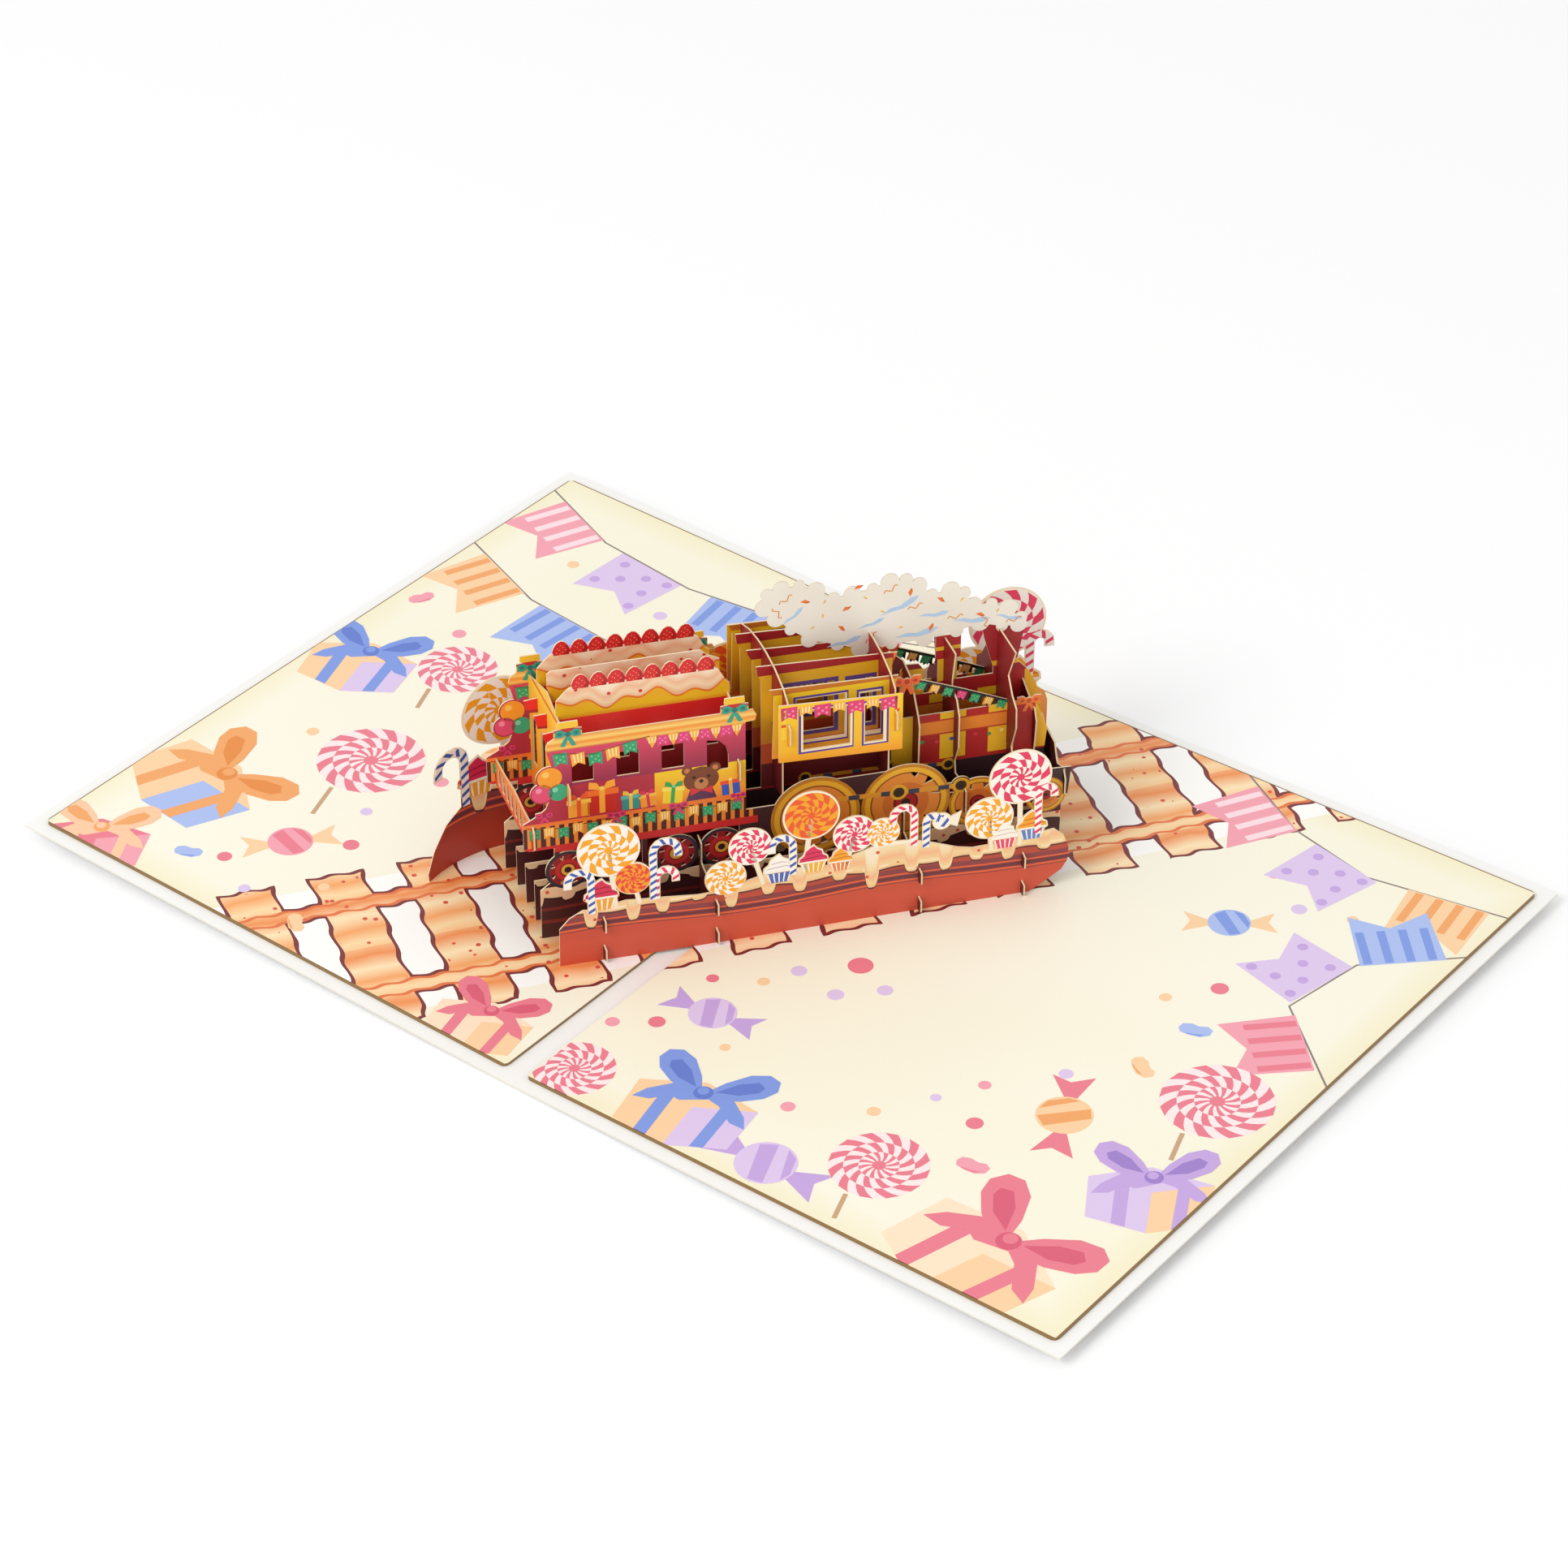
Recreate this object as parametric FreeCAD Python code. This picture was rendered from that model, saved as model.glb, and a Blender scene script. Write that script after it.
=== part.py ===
import FreeCAD, Part
import math
import os

# Pop up card, opened flat: a folded card with two printed pages, and a train
# built from slotted sheets of paper that stands across the fold.
# Millimetres, +Z up. The origin is the middle of the card's underside, with X
# across the two pages and Y along the fold.

# Card
PAGE_W = 150.0
PAGE_H = 200.0
COVER_T = 0.5
PAGE_T = 0.8
FOLD_HALF = 3.0
PAGE_INSET = 3.5
CORNER_R = 1.5
PAGE_TILT = math.radians(1.0)

# Paper of the pop up, and the play in its slots
T = 0.4
PLAY = 0.05
LONG_ANGLE = 52.3
CROSS_ANGLE = 148.0

# Places of the long sheets, measured across the train
OUTER_Y = 25.0
REAR_Y = 23.5
SIDE_Y = 14.0
INNER_Y = 7.0
CAB_PANEL_Y = 17.5

# Places of the cross ribs, measured along the train
BASE_RIBS_X = [-51.0, -24.7, 23.4, 48.2]
RAIL_X = -63.4
WAGON_RIBS_X = [-55.0, -15.6]
CAB_RIBS_X = [-5.0, 20.0]
BOILER_RIBS_X = [28.4, 38.2, 51.0, 57.2]
NOSE_RIB_X = 62.2

# Heights above the underside of the card
PAGE_TOP = COVER_T + PAGE_T
FOOT_Z = PAGE_TOP + 0.02
BASE_Z = 14.6
FRAME_Z = 25.6
DECK_Z = 29.6
RUNNING_Z = 34.3
CAB_FOOT = 42.6
WAGON_TOP = 57.2
ROOF_SIDE_Z = 65.3
ROOF_MID_Z = 65.6
CAB_TOP = 60.8
CAB_ROOF_Z = 63.6
BOILER_SIDE_Z = 43.5
BOILER_MID_Z = 47.5
REAR_SCALE = 1.27
REAR_SHIFT = 3.0


# Flat shapes are drawn in (along, height) and given their paper thickness.
def plate(points, depth=T):
    corners = [FreeCAD.Vector(u, -depth / 2, z) for u, z in points]
    wire = Part.makePolygon(corners + [corners[0]])
    return Part.Face(wire).extrude(FreeCAD.Vector(0, depth, 0))


def disc(u, z, radius, depth=T):
    centre = FreeCAD.Vector(u, -depth / 2, z)
    return Part.makeCylinder(radius, depth, centre, FreeCAD.Vector(0, 1, 0))


def window(u0, z0, u1, z1):
    return plate([(u0, z0), (u1, z0), (u1, z1), (u0, z1)], 3 * T)


def ribbon(points, width):
    left = []
    right = []
    for i, (u, z) in enumerate(points):
        before = points[max(i - 1, 0)]
        after = points[min(i + 1, len(points) - 1)]
        du = after[0] - before[0]
        dz = after[1] - before[1]
        size = math.hypot(du, dz)
        nu = -dz / size * width / 2
        nz = du / size * width / 2
        left.append((u + nu, z + nz))
        right.append((u - nu, z - nz))
    return left + right[::-1]


def joined(shapes):
    result = shapes[0].fuse(shapes[1:])
    return result.removeSplitter()


def along(shape, offset):
    placed = shape.copy()
    placed.rotate(FreeCAD.Vector(0, 0, 0), FreeCAD.Vector(0, 0, 1), LONG_ANGLE)
    angle = math.radians(CROSS_ANGLE)
    placed.translate(FreeCAD.Vector(offset * math.cos(angle), offset * math.sin(angle), 0))
    return placed


def across(shape, offset):
    placed = shape.copy()
    placed.rotate(FreeCAD.Vector(0, 0, 0), FreeCAD.Vector(0, 0, 1), CROSS_ANGLE)
    angle = math.radians(LONG_ANGLE)
    placed.translate(FreeCAD.Vector(offset * math.cos(angle), offset * math.sin(angle), 0))
    return placed


# The card: one folded cover with a flat back at the fold, and a thick printed
# page glued on each half. Both halves rise a little towards their outer edges.
def leaf_section(side, inner, outer, low, high):
    points = []
    for distance, height in ((inner, low), (outer, low), (outer, high), (inner, high)):
        run = distance - FOLD_HALF
        x = FOLD_HALF + run * math.cos(PAGE_TILT) - height * math.sin(PAGE_TILT)
        z = run * math.sin(PAGE_TILT) + height * math.cos(PAGE_TILT)
        points.append((side * x, z))
    return points


def slab(points, y0, y1):
    corners = [FreeCAD.Vector(x, y0, z) for x, z in points]
    wire = Part.makePolygon(corners + [corners[0]])
    return Part.Face(wire).extrude(FreeCAD.Vector(0, y1 - y0, 0))


right_cover = leaf_section(1, FOLD_HALF, PAGE_W, 0, COVER_T)
left_cover = leaf_section(-1, FOLD_HALF, PAGE_W, 0, COVER_T)
cover_outline = [left_cover[0], right_cover[0], right_cover[1], right_cover[2]]
cover_outline += [right_cover[3], left_cover[3], left_cover[2], left_cover[1]]
cover = slab(cover_outline, -PAGE_H / 2, PAGE_H / 2)

pages = {}
for name, side in (("left_page", -1), ("right_page", 1)):
    outline = leaf_section(side, FOLD_HALF, PAGE_W - PAGE_INSET, COVER_T, PAGE_TOP)
    page = slab(outline, -PAGE_H / 2 + PAGE_INSET, PAGE_H / 2 - PAGE_INSET)
    edges = []
    for edge in page.Edges:
        middle = edge.CenterOfMass
        if abs(middle.y) > PAGE_H / 2 - PAGE_INSET - 0.01 and edge.Length < 2 * PAGE_T:
            edges.append(edge)
    pages[name] = page.makeFillet(CORNER_R, edges)


# Sweets that stand on the platform walls.
def lollipop(u, z, radius, foot_u, foot_z):
    stick = plate(ribbon([(foot_u, foot_z), (u, z)], 1.2))
    return [disc(u, z, radius), stick]


def cane(u, z, height, radius, side):
    points = [(u, z), (u, z + height - radius)]
    for step in range(1, 8):
        angle = math.pi * step / 7
        rise = height - radius + radius * math.sin(angle)
        points.append((u + side * radius * (1 - math.cos(angle)), z + rise))
    points.append((u + side * 2 * radius, z + height - 1.6 * radius))
    return [plate(ribbon(points, 1.9))]


def cupcake(u, z, width):
    half = width / 2
    cup = [(-0.62, 0.0), (0.62, 0.0), (0.80, 0.72), (1.0, 0.86), (0.95, 1.2), (0.66, 1.42)]
    cup += [(0.6, 1.72), (0.28, 1.88), (0.05, 2.2), (-0.2, 2.06), (-0.55, 1.78), (-0.66, 1.42)]
    cup += [(-0.95, 1.2), (-1.0, 0.86), (-0.80, 0.72)]
    return [plate([(u + half * a, z + half * b) for a, b in cup])]


def twist(u, z, radius):
    wing = [(0.6, 0.3), (2.0, 0.9), (1.6, -0.9), (0.6, -0.4)]
    return [disc(u, z, radius), plate([(u + a * radius, z + b * radius) for a, b in wing])]


# Front platform wall: a low wall with a wavy top and sweets along it.
WALL_TOP = [(59.1, 9.6), (59.3, 13.4), (58.0, 17.0), (55.6, 19.2), (52.2, 18.8), (45.9, 18.0), (39.7, 17.4)]
WALL_TOP += [(36.1, 17.3), (32.5, 18.1), (25.3, 21.0), (21.1, 22.2), (17.1, 22.6), (12.5, 22.0), (7.3, 20.3)]
WALL_TOP += [(1.5, 18.6), (-5.8, 19.2), (-12.0, 19.0), (-17.5, 17.6), (-22.3, 16.0), (-29.0, 15.8)]
WALL_TOP += [(-36.7, 16.6), (-41.5, 17.0), (-45.7, 17.4), (-48.3, 16.9), (-51.5, 15.8), (-55.7, 16.3)]
SWEETS = []
SWEETS += lollipop(-49.4, 32.2, 7.3, -48.0, 16.0)
SWEETS += lollipop(-43.9, 23.3, 4.4, -42.5, 16.0)
SWEETS += cane(-39.2, 16.0, 16.4, 2.9, 1)
SWEETS += cane(-38.6, 16.0, 8.4, 2.3, 1)
SWEETS += lollipop(-22.4, 19.3, 4.9, -22.4, 14.0)
SWEETS += lollipop(-16.6, 27.2, 5.1, -13.6, 16.0)
SWEETS += cupcake(-9.9, 15.6, 7.6)
SWEETS += cane(-6.6, 17.0, 11.2, 2.5, -1)
SWEETS += cupcake(-1.8, 17.0, 7.4)
SWEETS += cupcake(4.6, 16.4, 6.2)
SWEETS += lollipop(7.9, 26.3, 5.1, 6.0, 18.0)
SWEETS += lollipop(14.6, 25.5, 4.0, 14.6, 18.0)
SWEETS += cane(22.0, 20.0, 11.6, 2.5, -1)
SWEETS += cane(24.9, 19.0, 9.0, 1.6, 1)
SWEETS += twist(28.6, 26.2, 2.3)
SWEETS += lollipop(39.9, 25.0, 5.8, 40.6, 15.0)
SWEETS += lollipop(47.1, 35.4, 7.5, 47.4, 16.0)
SWEETS += cupcake(43.8, 15.6, 7.0)
SWEETS += cane(51.6, 18.0, 13.6, 1.9, 1)
FRONT_SWEETS = []
FRONT_SWEETS += cupcake(-51.3, 15.4, 8.4)
FRONT_SWEETS += cane(-53.6, 14.5, 12.6, 2.7, -1)
FRONT_SWEETS += lollipop(-2.3, 33.4, 6.7, -3.8, 18.0)
FRONT_SWEETS += cupcake(50.2, 17.0, 7.8)
FRONT_END = [(-61.4, FOOT_Z), (48.6, FOOT_Z), (53.4, 4.2), (57.7, 7.2)]
FRONT_START = [(-58.9, 14.5), (-61.2, 11.8)]
front_wall = joined([plate(FRONT_END + WALL_TOP + FRONT_START)] + SWEETS + FRONT_SWEETS)

# Rear platform wall: the same design a size larger, with both ends rounded.
# Its left end curls towards the train.
CURL_U = -55.0
CURL_R = 34.0
CURL_END = 52.0
REAR_SWEETS = []
REAR_SWEETS += cupcake(-54.0, 14.4, 8.4)
REAR_SWEETS += cane(-56.6, 13.0, 13.4, 2.7, -1)
REAR_SWEETS += lollipop(-6.2, 32.6, 7.2, -5.0, 16.0)
REAR_SWEETS += cupcake(49.6, 17.6, 9.0)
rear_top = [(u * REAR_SCALE + REAR_SHIFT, z * REAR_SCALE) for u, z in WALL_TOP[5:-2]]
rear_outline = [(-79.5, FOOT_Z), (62.0, FOOT_Z), (68.5, 3.0), (72.4, 6.4), (73.4, 10.6)]
rear_outline += [(73.4, 20.8), (72.6, 23.6), (70.6, 25.2), (68.0, 25.4)]
rear_outline += rear_top + [(-64.5, 19.4), (-69.6, 17.6), (-74.2, 14.4), (-77.8, 9.4), (-79.8, 4.6)]
rear_flat = plate(rear_outline, 60.0)
larger = FreeCAD.Matrix()
larger.scale(REAR_SCALE, 100.0, REAR_SCALE)
larger.move(FreeCAD.Vector(REAR_SHIFT, 0, 0))
rear_parts = [rear_flat]
for sweet in SWEETS + REAR_SWEETS:
    rear_parts.append(sweet.transformGeometry(larger))
straight = Part.makeBox(150.0, T, 90.0, FreeCAD.Vector(CURL_U, -T / 2, 0))
curl_centre = FreeCAD.Vector(CURL_U, -CURL_R, 0)
outside = Part.makeCylinder(CURL_R + T / 2, 90.0, curl_centre, FreeCAD.Vector(0, 0, 1), CURL_END)
inside = Part.makeCylinder(CURL_R - T / 2, 90.0, curl_centre, FreeCAD.Vector(0, 0, 1), CURL_END)
curl = outside.cut(inside)
curl.rotate(curl_centre, FreeCAD.Vector(0, 0, 1), 90)
rear_wall = straight.fuse(curl).common(joined(rear_parts)).removeSplitter()


# Wheels: a disc with a ring of pointed cut-outs inside its rim.
def wheel(u, z, radius, teeth):
    shape = disc(u, z, radius)
    for k in range(teeth):
        angle = 2 * math.pi * (k + 0.5) / teeth
        spread = 0.9 / teeth * math.pi / 2
        corners = []
        for turn, reach in ((-spread, 0.80), (spread, 0.80), (0.0, 0.56)):
            a = angle + turn
            corners.append((u + reach * radius * math.cos(a), z + reach * radius * math.sin(a)))
        shape = shape.cut(plate(corners, 3 * T))
    return shape


def bow(u, z, size):
    loop = [(0.0, 0.0), (0.5, 0.45), (1.0, 0.4), (1.0, -0.35), (0.5, -0.3)]
    wings = [(u + size * a, z + size * b) for a, b in loop]
    mirrored = [(u - size * a, z + size * b) for a, b in loop[::-1]]
    tails = [(u - 0.6 * size, z - size), (u - 0.25 * size, z - 1.1 * size), (u, z - 0.5 * size)]
    tails += [(u + 0.25 * size, z - 1.1 * size), (u + 0.6 * size, z - size), (u + 0.1 * size, z + 0.2 * size)]
    tails += [(u - 0.1 * size, z + 0.2 * size)]
    return [plate(wings), plate(mirrored), plate(tails), disc(u, z, 0.28 * size)]


# Train sides: platform step, wheels, running board, and the wagon side with its
# balcony and windows. The rear side is the same sheet.
WAGON_WHEELS = [-55.6, -44.9, -30.2, -19.6]
WINDOWS_X = [(-54.0, -49.0), (-43.7, -38.5), (-33.3, -28.1), (-22.8, -17.8)]
step_outline = [(-62.2, FOOT_Z), (61.5, FOOT_Z), (61.7, 18.6), (58.0, 17.6), (50.0, BASE_Z)]
step_outline += [(34.0, 16.2), (14.0, BASE_Z), (-10.0, BASE_Z), (-24.0, 15.6), (-37.0, BASE_Z)]
step_outline += [(-50.0, 15.8), (-56.5, 15.6), (-59.4, 17.4), (-62.1, 15.2)]
wagon_outline = [(-58.5, FRAME_Z), (-13.8, FRAME_Z), (-13.8, 54.0), (-11.6, 54.2), (-11.2, 55.6)]
wagon_outline += [(-12.0, WAGON_TOP)]
wagon_outline += [(-57.2, WAGON_TOP), (-59.3, 56.0), (-59.8, 54.2), (-58.6, 49.5), (-58.6, 42.0), (-60.2, 38.0)]
wagon_outline += [(-62.4, 36.2), (-65.6, 34.4), (-65.6, 27.4), (-64.4, 26.8), (-58.5, 26.8)]
finial = [(-1.8, -0.4), (1.8, -0.4), (1.6, 2.2), (2.4, 2.4), (2.3, 3.9), (-2.3, 3.9), (-2.4, 2.4), (-1.6, 2.2)]
side_parts = [plate(step_outline), plate(wagon_outline)]
frame_outline = [(-15.0, 20.5), (60.0, 20.5), (60.0, FRAME_Z), (-6.0, FRAME_Z), (-6.0, DECK_Z)]
frame_outline += [(-15.0, DECK_Z)]
guard_outline = [(-5.6, 24.0), (27.5, 24.0), (27.5, 30.0), (24.0, RUNNING_Z), (-0.4, RUNNING_Z)]
guard_outline += [(-4.0, 33.0), (-5.6, 30.0)]
side_parts += [plate(frame_outline), plate(guard_outline)]
side_parts.append(plate([(55.0, 20.5), (63.2, 20.5), (63.9, 28.0), (58.0, 28.2), (55.0, FRAME_Z)]))
for post in (-58.0, -37.6, -14.8, 33.0, 51.0):
    corners = [(post - 0.6, 13.0), (post + 0.6, 13.0), (post + 0.6, 26.5), (post - 0.6, 26.5)]
    side_parts.append(plate(corners))
for place in WAGON_WHEELS:
    side_parts.append(wheel(place, 20.2, 5.2, 8))
side_parts.append(wheel(2.6, 25.0, 10.6, 12))
side_parts.append(wheel(24.1, 24.9, 10.6, 12))
side_parts.append(wheel(41.4, 22.0, 6.9, 8))
side_parts.append(wheel(57.9, 21.0, 4.9, 8))
side_parts.append(plate(ribbon([(7.6, 28.6), (37.3, 27.4)], 1.7)))
side_parts.append(disc(22.4, 28.0, 2.4))
side_parts.append(disc(37.3, 27.4, 2.4))
for place in (-54.6, -16.3):
    side_parts.append(plate([(place + a, WAGON_TOP + b) for a, b in finial]))
    side_parts += bow(place, 57.8, 3.2)
side_parts.append(disc(-59.1, 46.4, 3.2))
side_parts.append(disc(-60.9, 42.4, 2.8))
side_parts += bow(-60.6, 36.2, 2.0)
train_side = side_parts[0].fuse(side_parts[1:]).removeSplitter()
for left, right in WINDOWS_X[:3]:
    train_side = train_side.cut(window(left, 44.3, right, 50.8))
arch = [(-22.8, 41.9), (-17.8, 41.9), (-17.8, 45.8), (-18.4, 48.2), (-20.0, 50.0), (-22.8, 50.5)]
train_side = train_side.cut(plate(arch, 3 * T))

# Cab walls, hung on the cab ribs in line with the train sides.
cab_outline = [(-7.6, CAB_FOOT), (21.2, CAB_FOOT), (21.2, 59.0), (21.9, CAB_TOP)]
cab_outline += [(-8.2, CAB_TOP + 0.8), (-7.2, 59.4)]
cab_wall = plate(cab_outline)
cab_wall = cab_wall.cut(window(-2.0, 46.5, 9.4, 58.0))
cab_wall = cab_wall.cut(window(12.9, 46.5, 17.9, 57.3))

# Cab panels, hung on the same ribs outside the cab walls.
cab_panel = plate([(-7.3, 43.8), (21.7, 42.8), (21.7, 58.0), (-7.3, 59.4)])
cab_panel = cab_panel.cut(window(-1.6, 46.4, 9.4, 57.0))
cab_panel = cab_panel.cut(window(12.8, 46.0, 17.2, 56.4))


# Strawberries along the cake roof.
def berry(u, z):
    shape = [(-2.1, -0.3), (2.1, -0.3), (2.05, 0.9), (1.5, 2.1), (0.7, 3.0), (-0.2, 3.2)]
    shape += [(-1.1, 2.7), (-1.8, 1.6), (-2.1, 0.7)]
    return plate([(u + a, z + b) for a, b in shape])


def pennant(u, z, width, drop, lean):
    half = width / 2
    shape = [(-half, 0.0), (half, -lean), (half - 0.3, -drop), (0.0, 1.0 - drop), (0.3 - half, 0.3 - drop)]
    return plate([(u + a, z + b) for a, b in shape])


# Inner sheets: wagon wall and cake roof, coupling, cab with its red roof, one
# boiler side with its string of pennants, and the frame down to the bumper.
inner_outline = [(-61.5, FOOT_Z), (61.0, FOOT_Z), (61.0, 12.0), (66.2, 15.8), (66.8, 22.4), (62.4, 23.0)]
inner_outline += [(60.0, 28.6), (60.6, 35.0), (58.6, 40.6), (57.3, BOILER_SIDE_Z), (53.0, 43.7)]
inner_outline += [(51.0, BOILER_SIDE_Z), (23.0, BOILER_SIDE_Z), (23.0, 59.0), (24.2, 62.2)]
inner_outline += [(-8.9, CAB_ROOF_Z), (-8.6, 61.2), (-7.8, 59.7), (-7.8, DECK_Z + 0.4)]
inner_outline += [(-15.0, DECK_Z + 0.4), (-15.0, 50.0), (-11.4, 51.6), (-15.0, 53.6), (-15.0, 60.5)]
inner_outline += [(-16.0, 61.5), (-17.6, 64.6), (-19.0, ROOF_SIDE_Z), (-51.8, ROOF_SIDE_Z), (-53.4, 63.8)]
inner_outline += [(-55.0, 62.0), (-55.3, 58.6), (-54.6, 57.6), (-54.6, 54.0), (-58.4, 53.6)]
inner_outline += [(-57.6, 50.2), (-54.6, 50.0), (-54.6, 13.0), (-61.5, 13.0)]
inner_parts = [plate(inner_outline)]
for k in range(8):
    inner_parts.append(berry(-49.3 + 4.12 * k, ROOF_SIDE_Z))
STRING_START = (29.3, 53.4)
STRING_END = (50.6, 44.2)
inner_parts.append(plate(ribbon([(26.6, 53.6), STRING_START, (40.0, 49.0), STRING_END], 0.8)))
for k in range(7):
    share = (k + 0.35) / 6.6
    flag_u = STRING_START[0] + share * (STRING_END[0] - STRING_START[0])
    flag_z = STRING_START[1] + share * (STRING_END[1] - STRING_START[1])
    inner_parts.append(pennant(flag_u, flag_z + 0.4, 2.6, 3.2, 1.0))
inner_parts += bow(26.6, 53.6, 3.3)
inner_parts += bow(56.0, 43.4, 2.9)
inner_sheet = inner_parts[0].fuse(inner_parts[1:]).removeSplitter()
for left, right in WINDOWS_X[1:]:
    inner_sheet = inner_sheet.cut(window(left, 44.3, right, 50.8))
inner_sheet = inner_sheet.cut(window(-2.0, 44.0, 9.4, 57.0))
inner_sheet = inner_sheet.cut(window(12.9, 44.0, 18.4, 56.6))
inner_sheet = inner_sheet.cut(window(-13.0, 16.0, -9.0, 22.0))

# Middle sheet: roof ridge of the wagon and cab, both steam domes, the funnel
# and the sloping front of the boiler.
middle_outline = [(-61.5, FOOT_Z), (60.0, FOOT_Z), (60.0, 11.0), (65.6, 12.0), (66.6, 18.0), (64.8, 22.0)]
middle_outline += [(63.3, 30.6), (61.2, 38.7), (60.6, 42.8), (58.6, 47.0), (55.6, 50.4), (56.9, 57.6)]
middle_outline += [(57.3, 60.6), (46.9, 61.4), (47.5, 58.0), (49.9, 49.4), (49.9, BOILER_MID_Z)]
middle_outline += [(41.2, BOILER_MID_Z), (41.2, 53.4), (42.0, 54.0), (42.0, 60.0), (36.0, 60.0)]
middle_outline += [(36.0, 54.0), (36.6, 53.4), (36.6, 44.6), (33.2, 44.6), (33.2, 51.4), (31.9, 53.2)]
middle_outline += [(28.9, 53.4), (27.6, 51.6), (27.6, 44.6), (22.0, 44.6), (22.0, 62.0)]
middle_outline += [(-8.7, CAB_ROOF_Z), (-8.4, 62.4), (-7.4, 60.6), (-7.4, DECK_Z + 0.6)]
middle_outline += [(-15.0, DECK_Z + 0.6), (-15.0, 62.6), (-17.8, 64.0), (-19.4, ROOF_MID_Z)]
middle_outline += [(-54.0, ROOF_MID_Z), (-54.9, 64.8), (-54.9, 61.0), (-54.6, 60.4), (-54.6, 54.2)]
middle_outline += [(-58.2, 54.0), (-57.4, 50.4), (-54.6, 50.2), (-54.6, 13.0), (-61.5, 13.0)]
middle_sheet = plate(middle_outline)
for left, right in WINDOWS_X[1:]:
    middle_sheet = middle_sheet.cut(window(left, 44.3, right, 50.8))
middle_sheet = middle_sheet.cut(window(-2.0, 44.0, 9.4, 57.0))

# Smoke cloud, glued on the front of the funnel and the second dome.
CLOUD_EDGE = [(-4.6, 74.6), (-3.8, 78.0), (-0.6, 79.2), (3.6, 79.4), (7.4, 77.4), (11.6, 74.6)]
CLOUD_EDGE += [(16.0, 75.2), (20.8, 75.8), (24.8, 77.0), (28.6, 77.0), (31.6, 75.0), (34.8, 72.0)]
CLOUD_EDGE += [(39.2, 72.4), (42.4, 71.2), (44.6, 67.6), (49.0, 67.2), (53.0, 65.4), (56.0, 62.2)]
CLOUD_EDGE += [(55.6, 60.4), (51.6, 60.6), (46.4, 62.4), (40.8, 61.0), (33.2, 60.0), (25.4, 60.0)]
CLOUD_EDGE += [(18.0, 60.0), (12.6, 62.0), (6.0, 64.4), (1.6, 67.8), (-1.8, 71.4)]
PUFF_R = [2.2, 1.6, 2.0, 1.4]
puffs = []
for number, (u, z) in enumerate(CLOUD_EDGE):
    puffs.append(disc(u, z, PUFF_R[number % 4]))
cloud = joined([plate(CLOUD_EDGE)] + puffs)


# Cross ribs, drawn for one half and mirrored about the middle of the train.
def mirrored_rib(half):
    return [(-u, z) for u, z in half] + [(u, z) for u, z in half[::-1]]


def base_rib(front, rear):
    points = [(-front, FOOT_Z), (rear, FOOT_Z), (rear, 11.0), (20.0, 15.6), (15.2, 17.2), (15.2, 22.6)]
    points += [(12.6, 23.4), (9.0, 19.4), (-9.0, 19.4), (-12.6, 23.4), (-15.2, 22.6), (-15.2, 17.2)]
    points += [(-20.0, 15.6), (-front, 14.3)]
    prongs = []
    places = [(-1, front, 0.0, 4.4), (-1, front, 8.1, 4.4), (1, rear, 0.0, 4.0), (1, rear, 4.9, 4.0)]
    for side, reach, low, rise in places:
        foot = FOOT_Z + 0.2 + low
        prong = [(reach + 2.1, foot + 0.6), (reach - 0.5, foot), (reach - 0.5, foot + rise)]
        prong.append((reach + 2.1, foot + rise - 0.8))
        prongs.append(plate([(side * v, z) for v, z in prong]))
    return joined([plate(points)] + prongs)


outer_reach = OUTER_Y - T / 2 - PLAY
rear_reach = REAR_Y - T / 2 - PLAY
base_ribs = [base_rib(outer_reach, rear_reach) for place in BASE_RIBS_X]

hang = SIDE_Y - T / 2 - PLAY
wagon_half = [(4.0, 26.0), (hang, 26.0), (hang, 38.4), (hang + 1.9, 39.0), (hang + 1.9, 43.4)]
wagon_half += [(hang, 44.2), (hang, 56.0), (0.001, 60.2)]
wagon_rib = plate(mirrored_rib(wagon_half))
for side in (-1, 1):
    wagon_rib = wagon_rib.cut(window(side * 3.5 - 1.4, 33.0, side * 3.5 + 1.4, 46.0))
    wagon_rib = wagon_rib.cut(window(side * 10.4 - 1.4, 33.0, side * 10.4 + 1.4, 46.0))

rail_half = [(0.001, 26.4), (hang, 26.4), (hang + 1.5, 27.8), (hang + 1.5, 32.6), (hang, 33.8)]
rail_half += [(7.0, 33.8), (0.001, 34.6)]
rail = plate(mirrored_rib(rail_half))
for place in (-11.4, -8.2, -5.0, -1.8, 1.4, 4.6, 7.8, 11.0):
    rail = rail.cut(window(place - 0.6, 27.6, place + 1.2, 32.6))

cab_hang = CAB_PANEL_Y - T / 2 - PLAY
cab_half = [(10.0, 31.0), (hang, 31.0), (hang, 46.0), (cab_hang, 48.0), (cab_hang + 1.6, 49.0)]
cab_half += [(cab_hang + 1.6, 53.2), (cab_hang, 54.2)]
cab_half += [(cab_hang, 59.2), (14.4, 61.4), (8.6, 63.4), (3.0, 64.2), (0.001, 64.3)]
cab_rib = plate(mirrored_rib(cab_half))
cab_rib = cab_rib.cut(window(-5.8, 44.0, -1.2, 56.0))
cab_rib = cab_rib.cut(window(1.2, 44.0, 5.8, 56.0))

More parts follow.
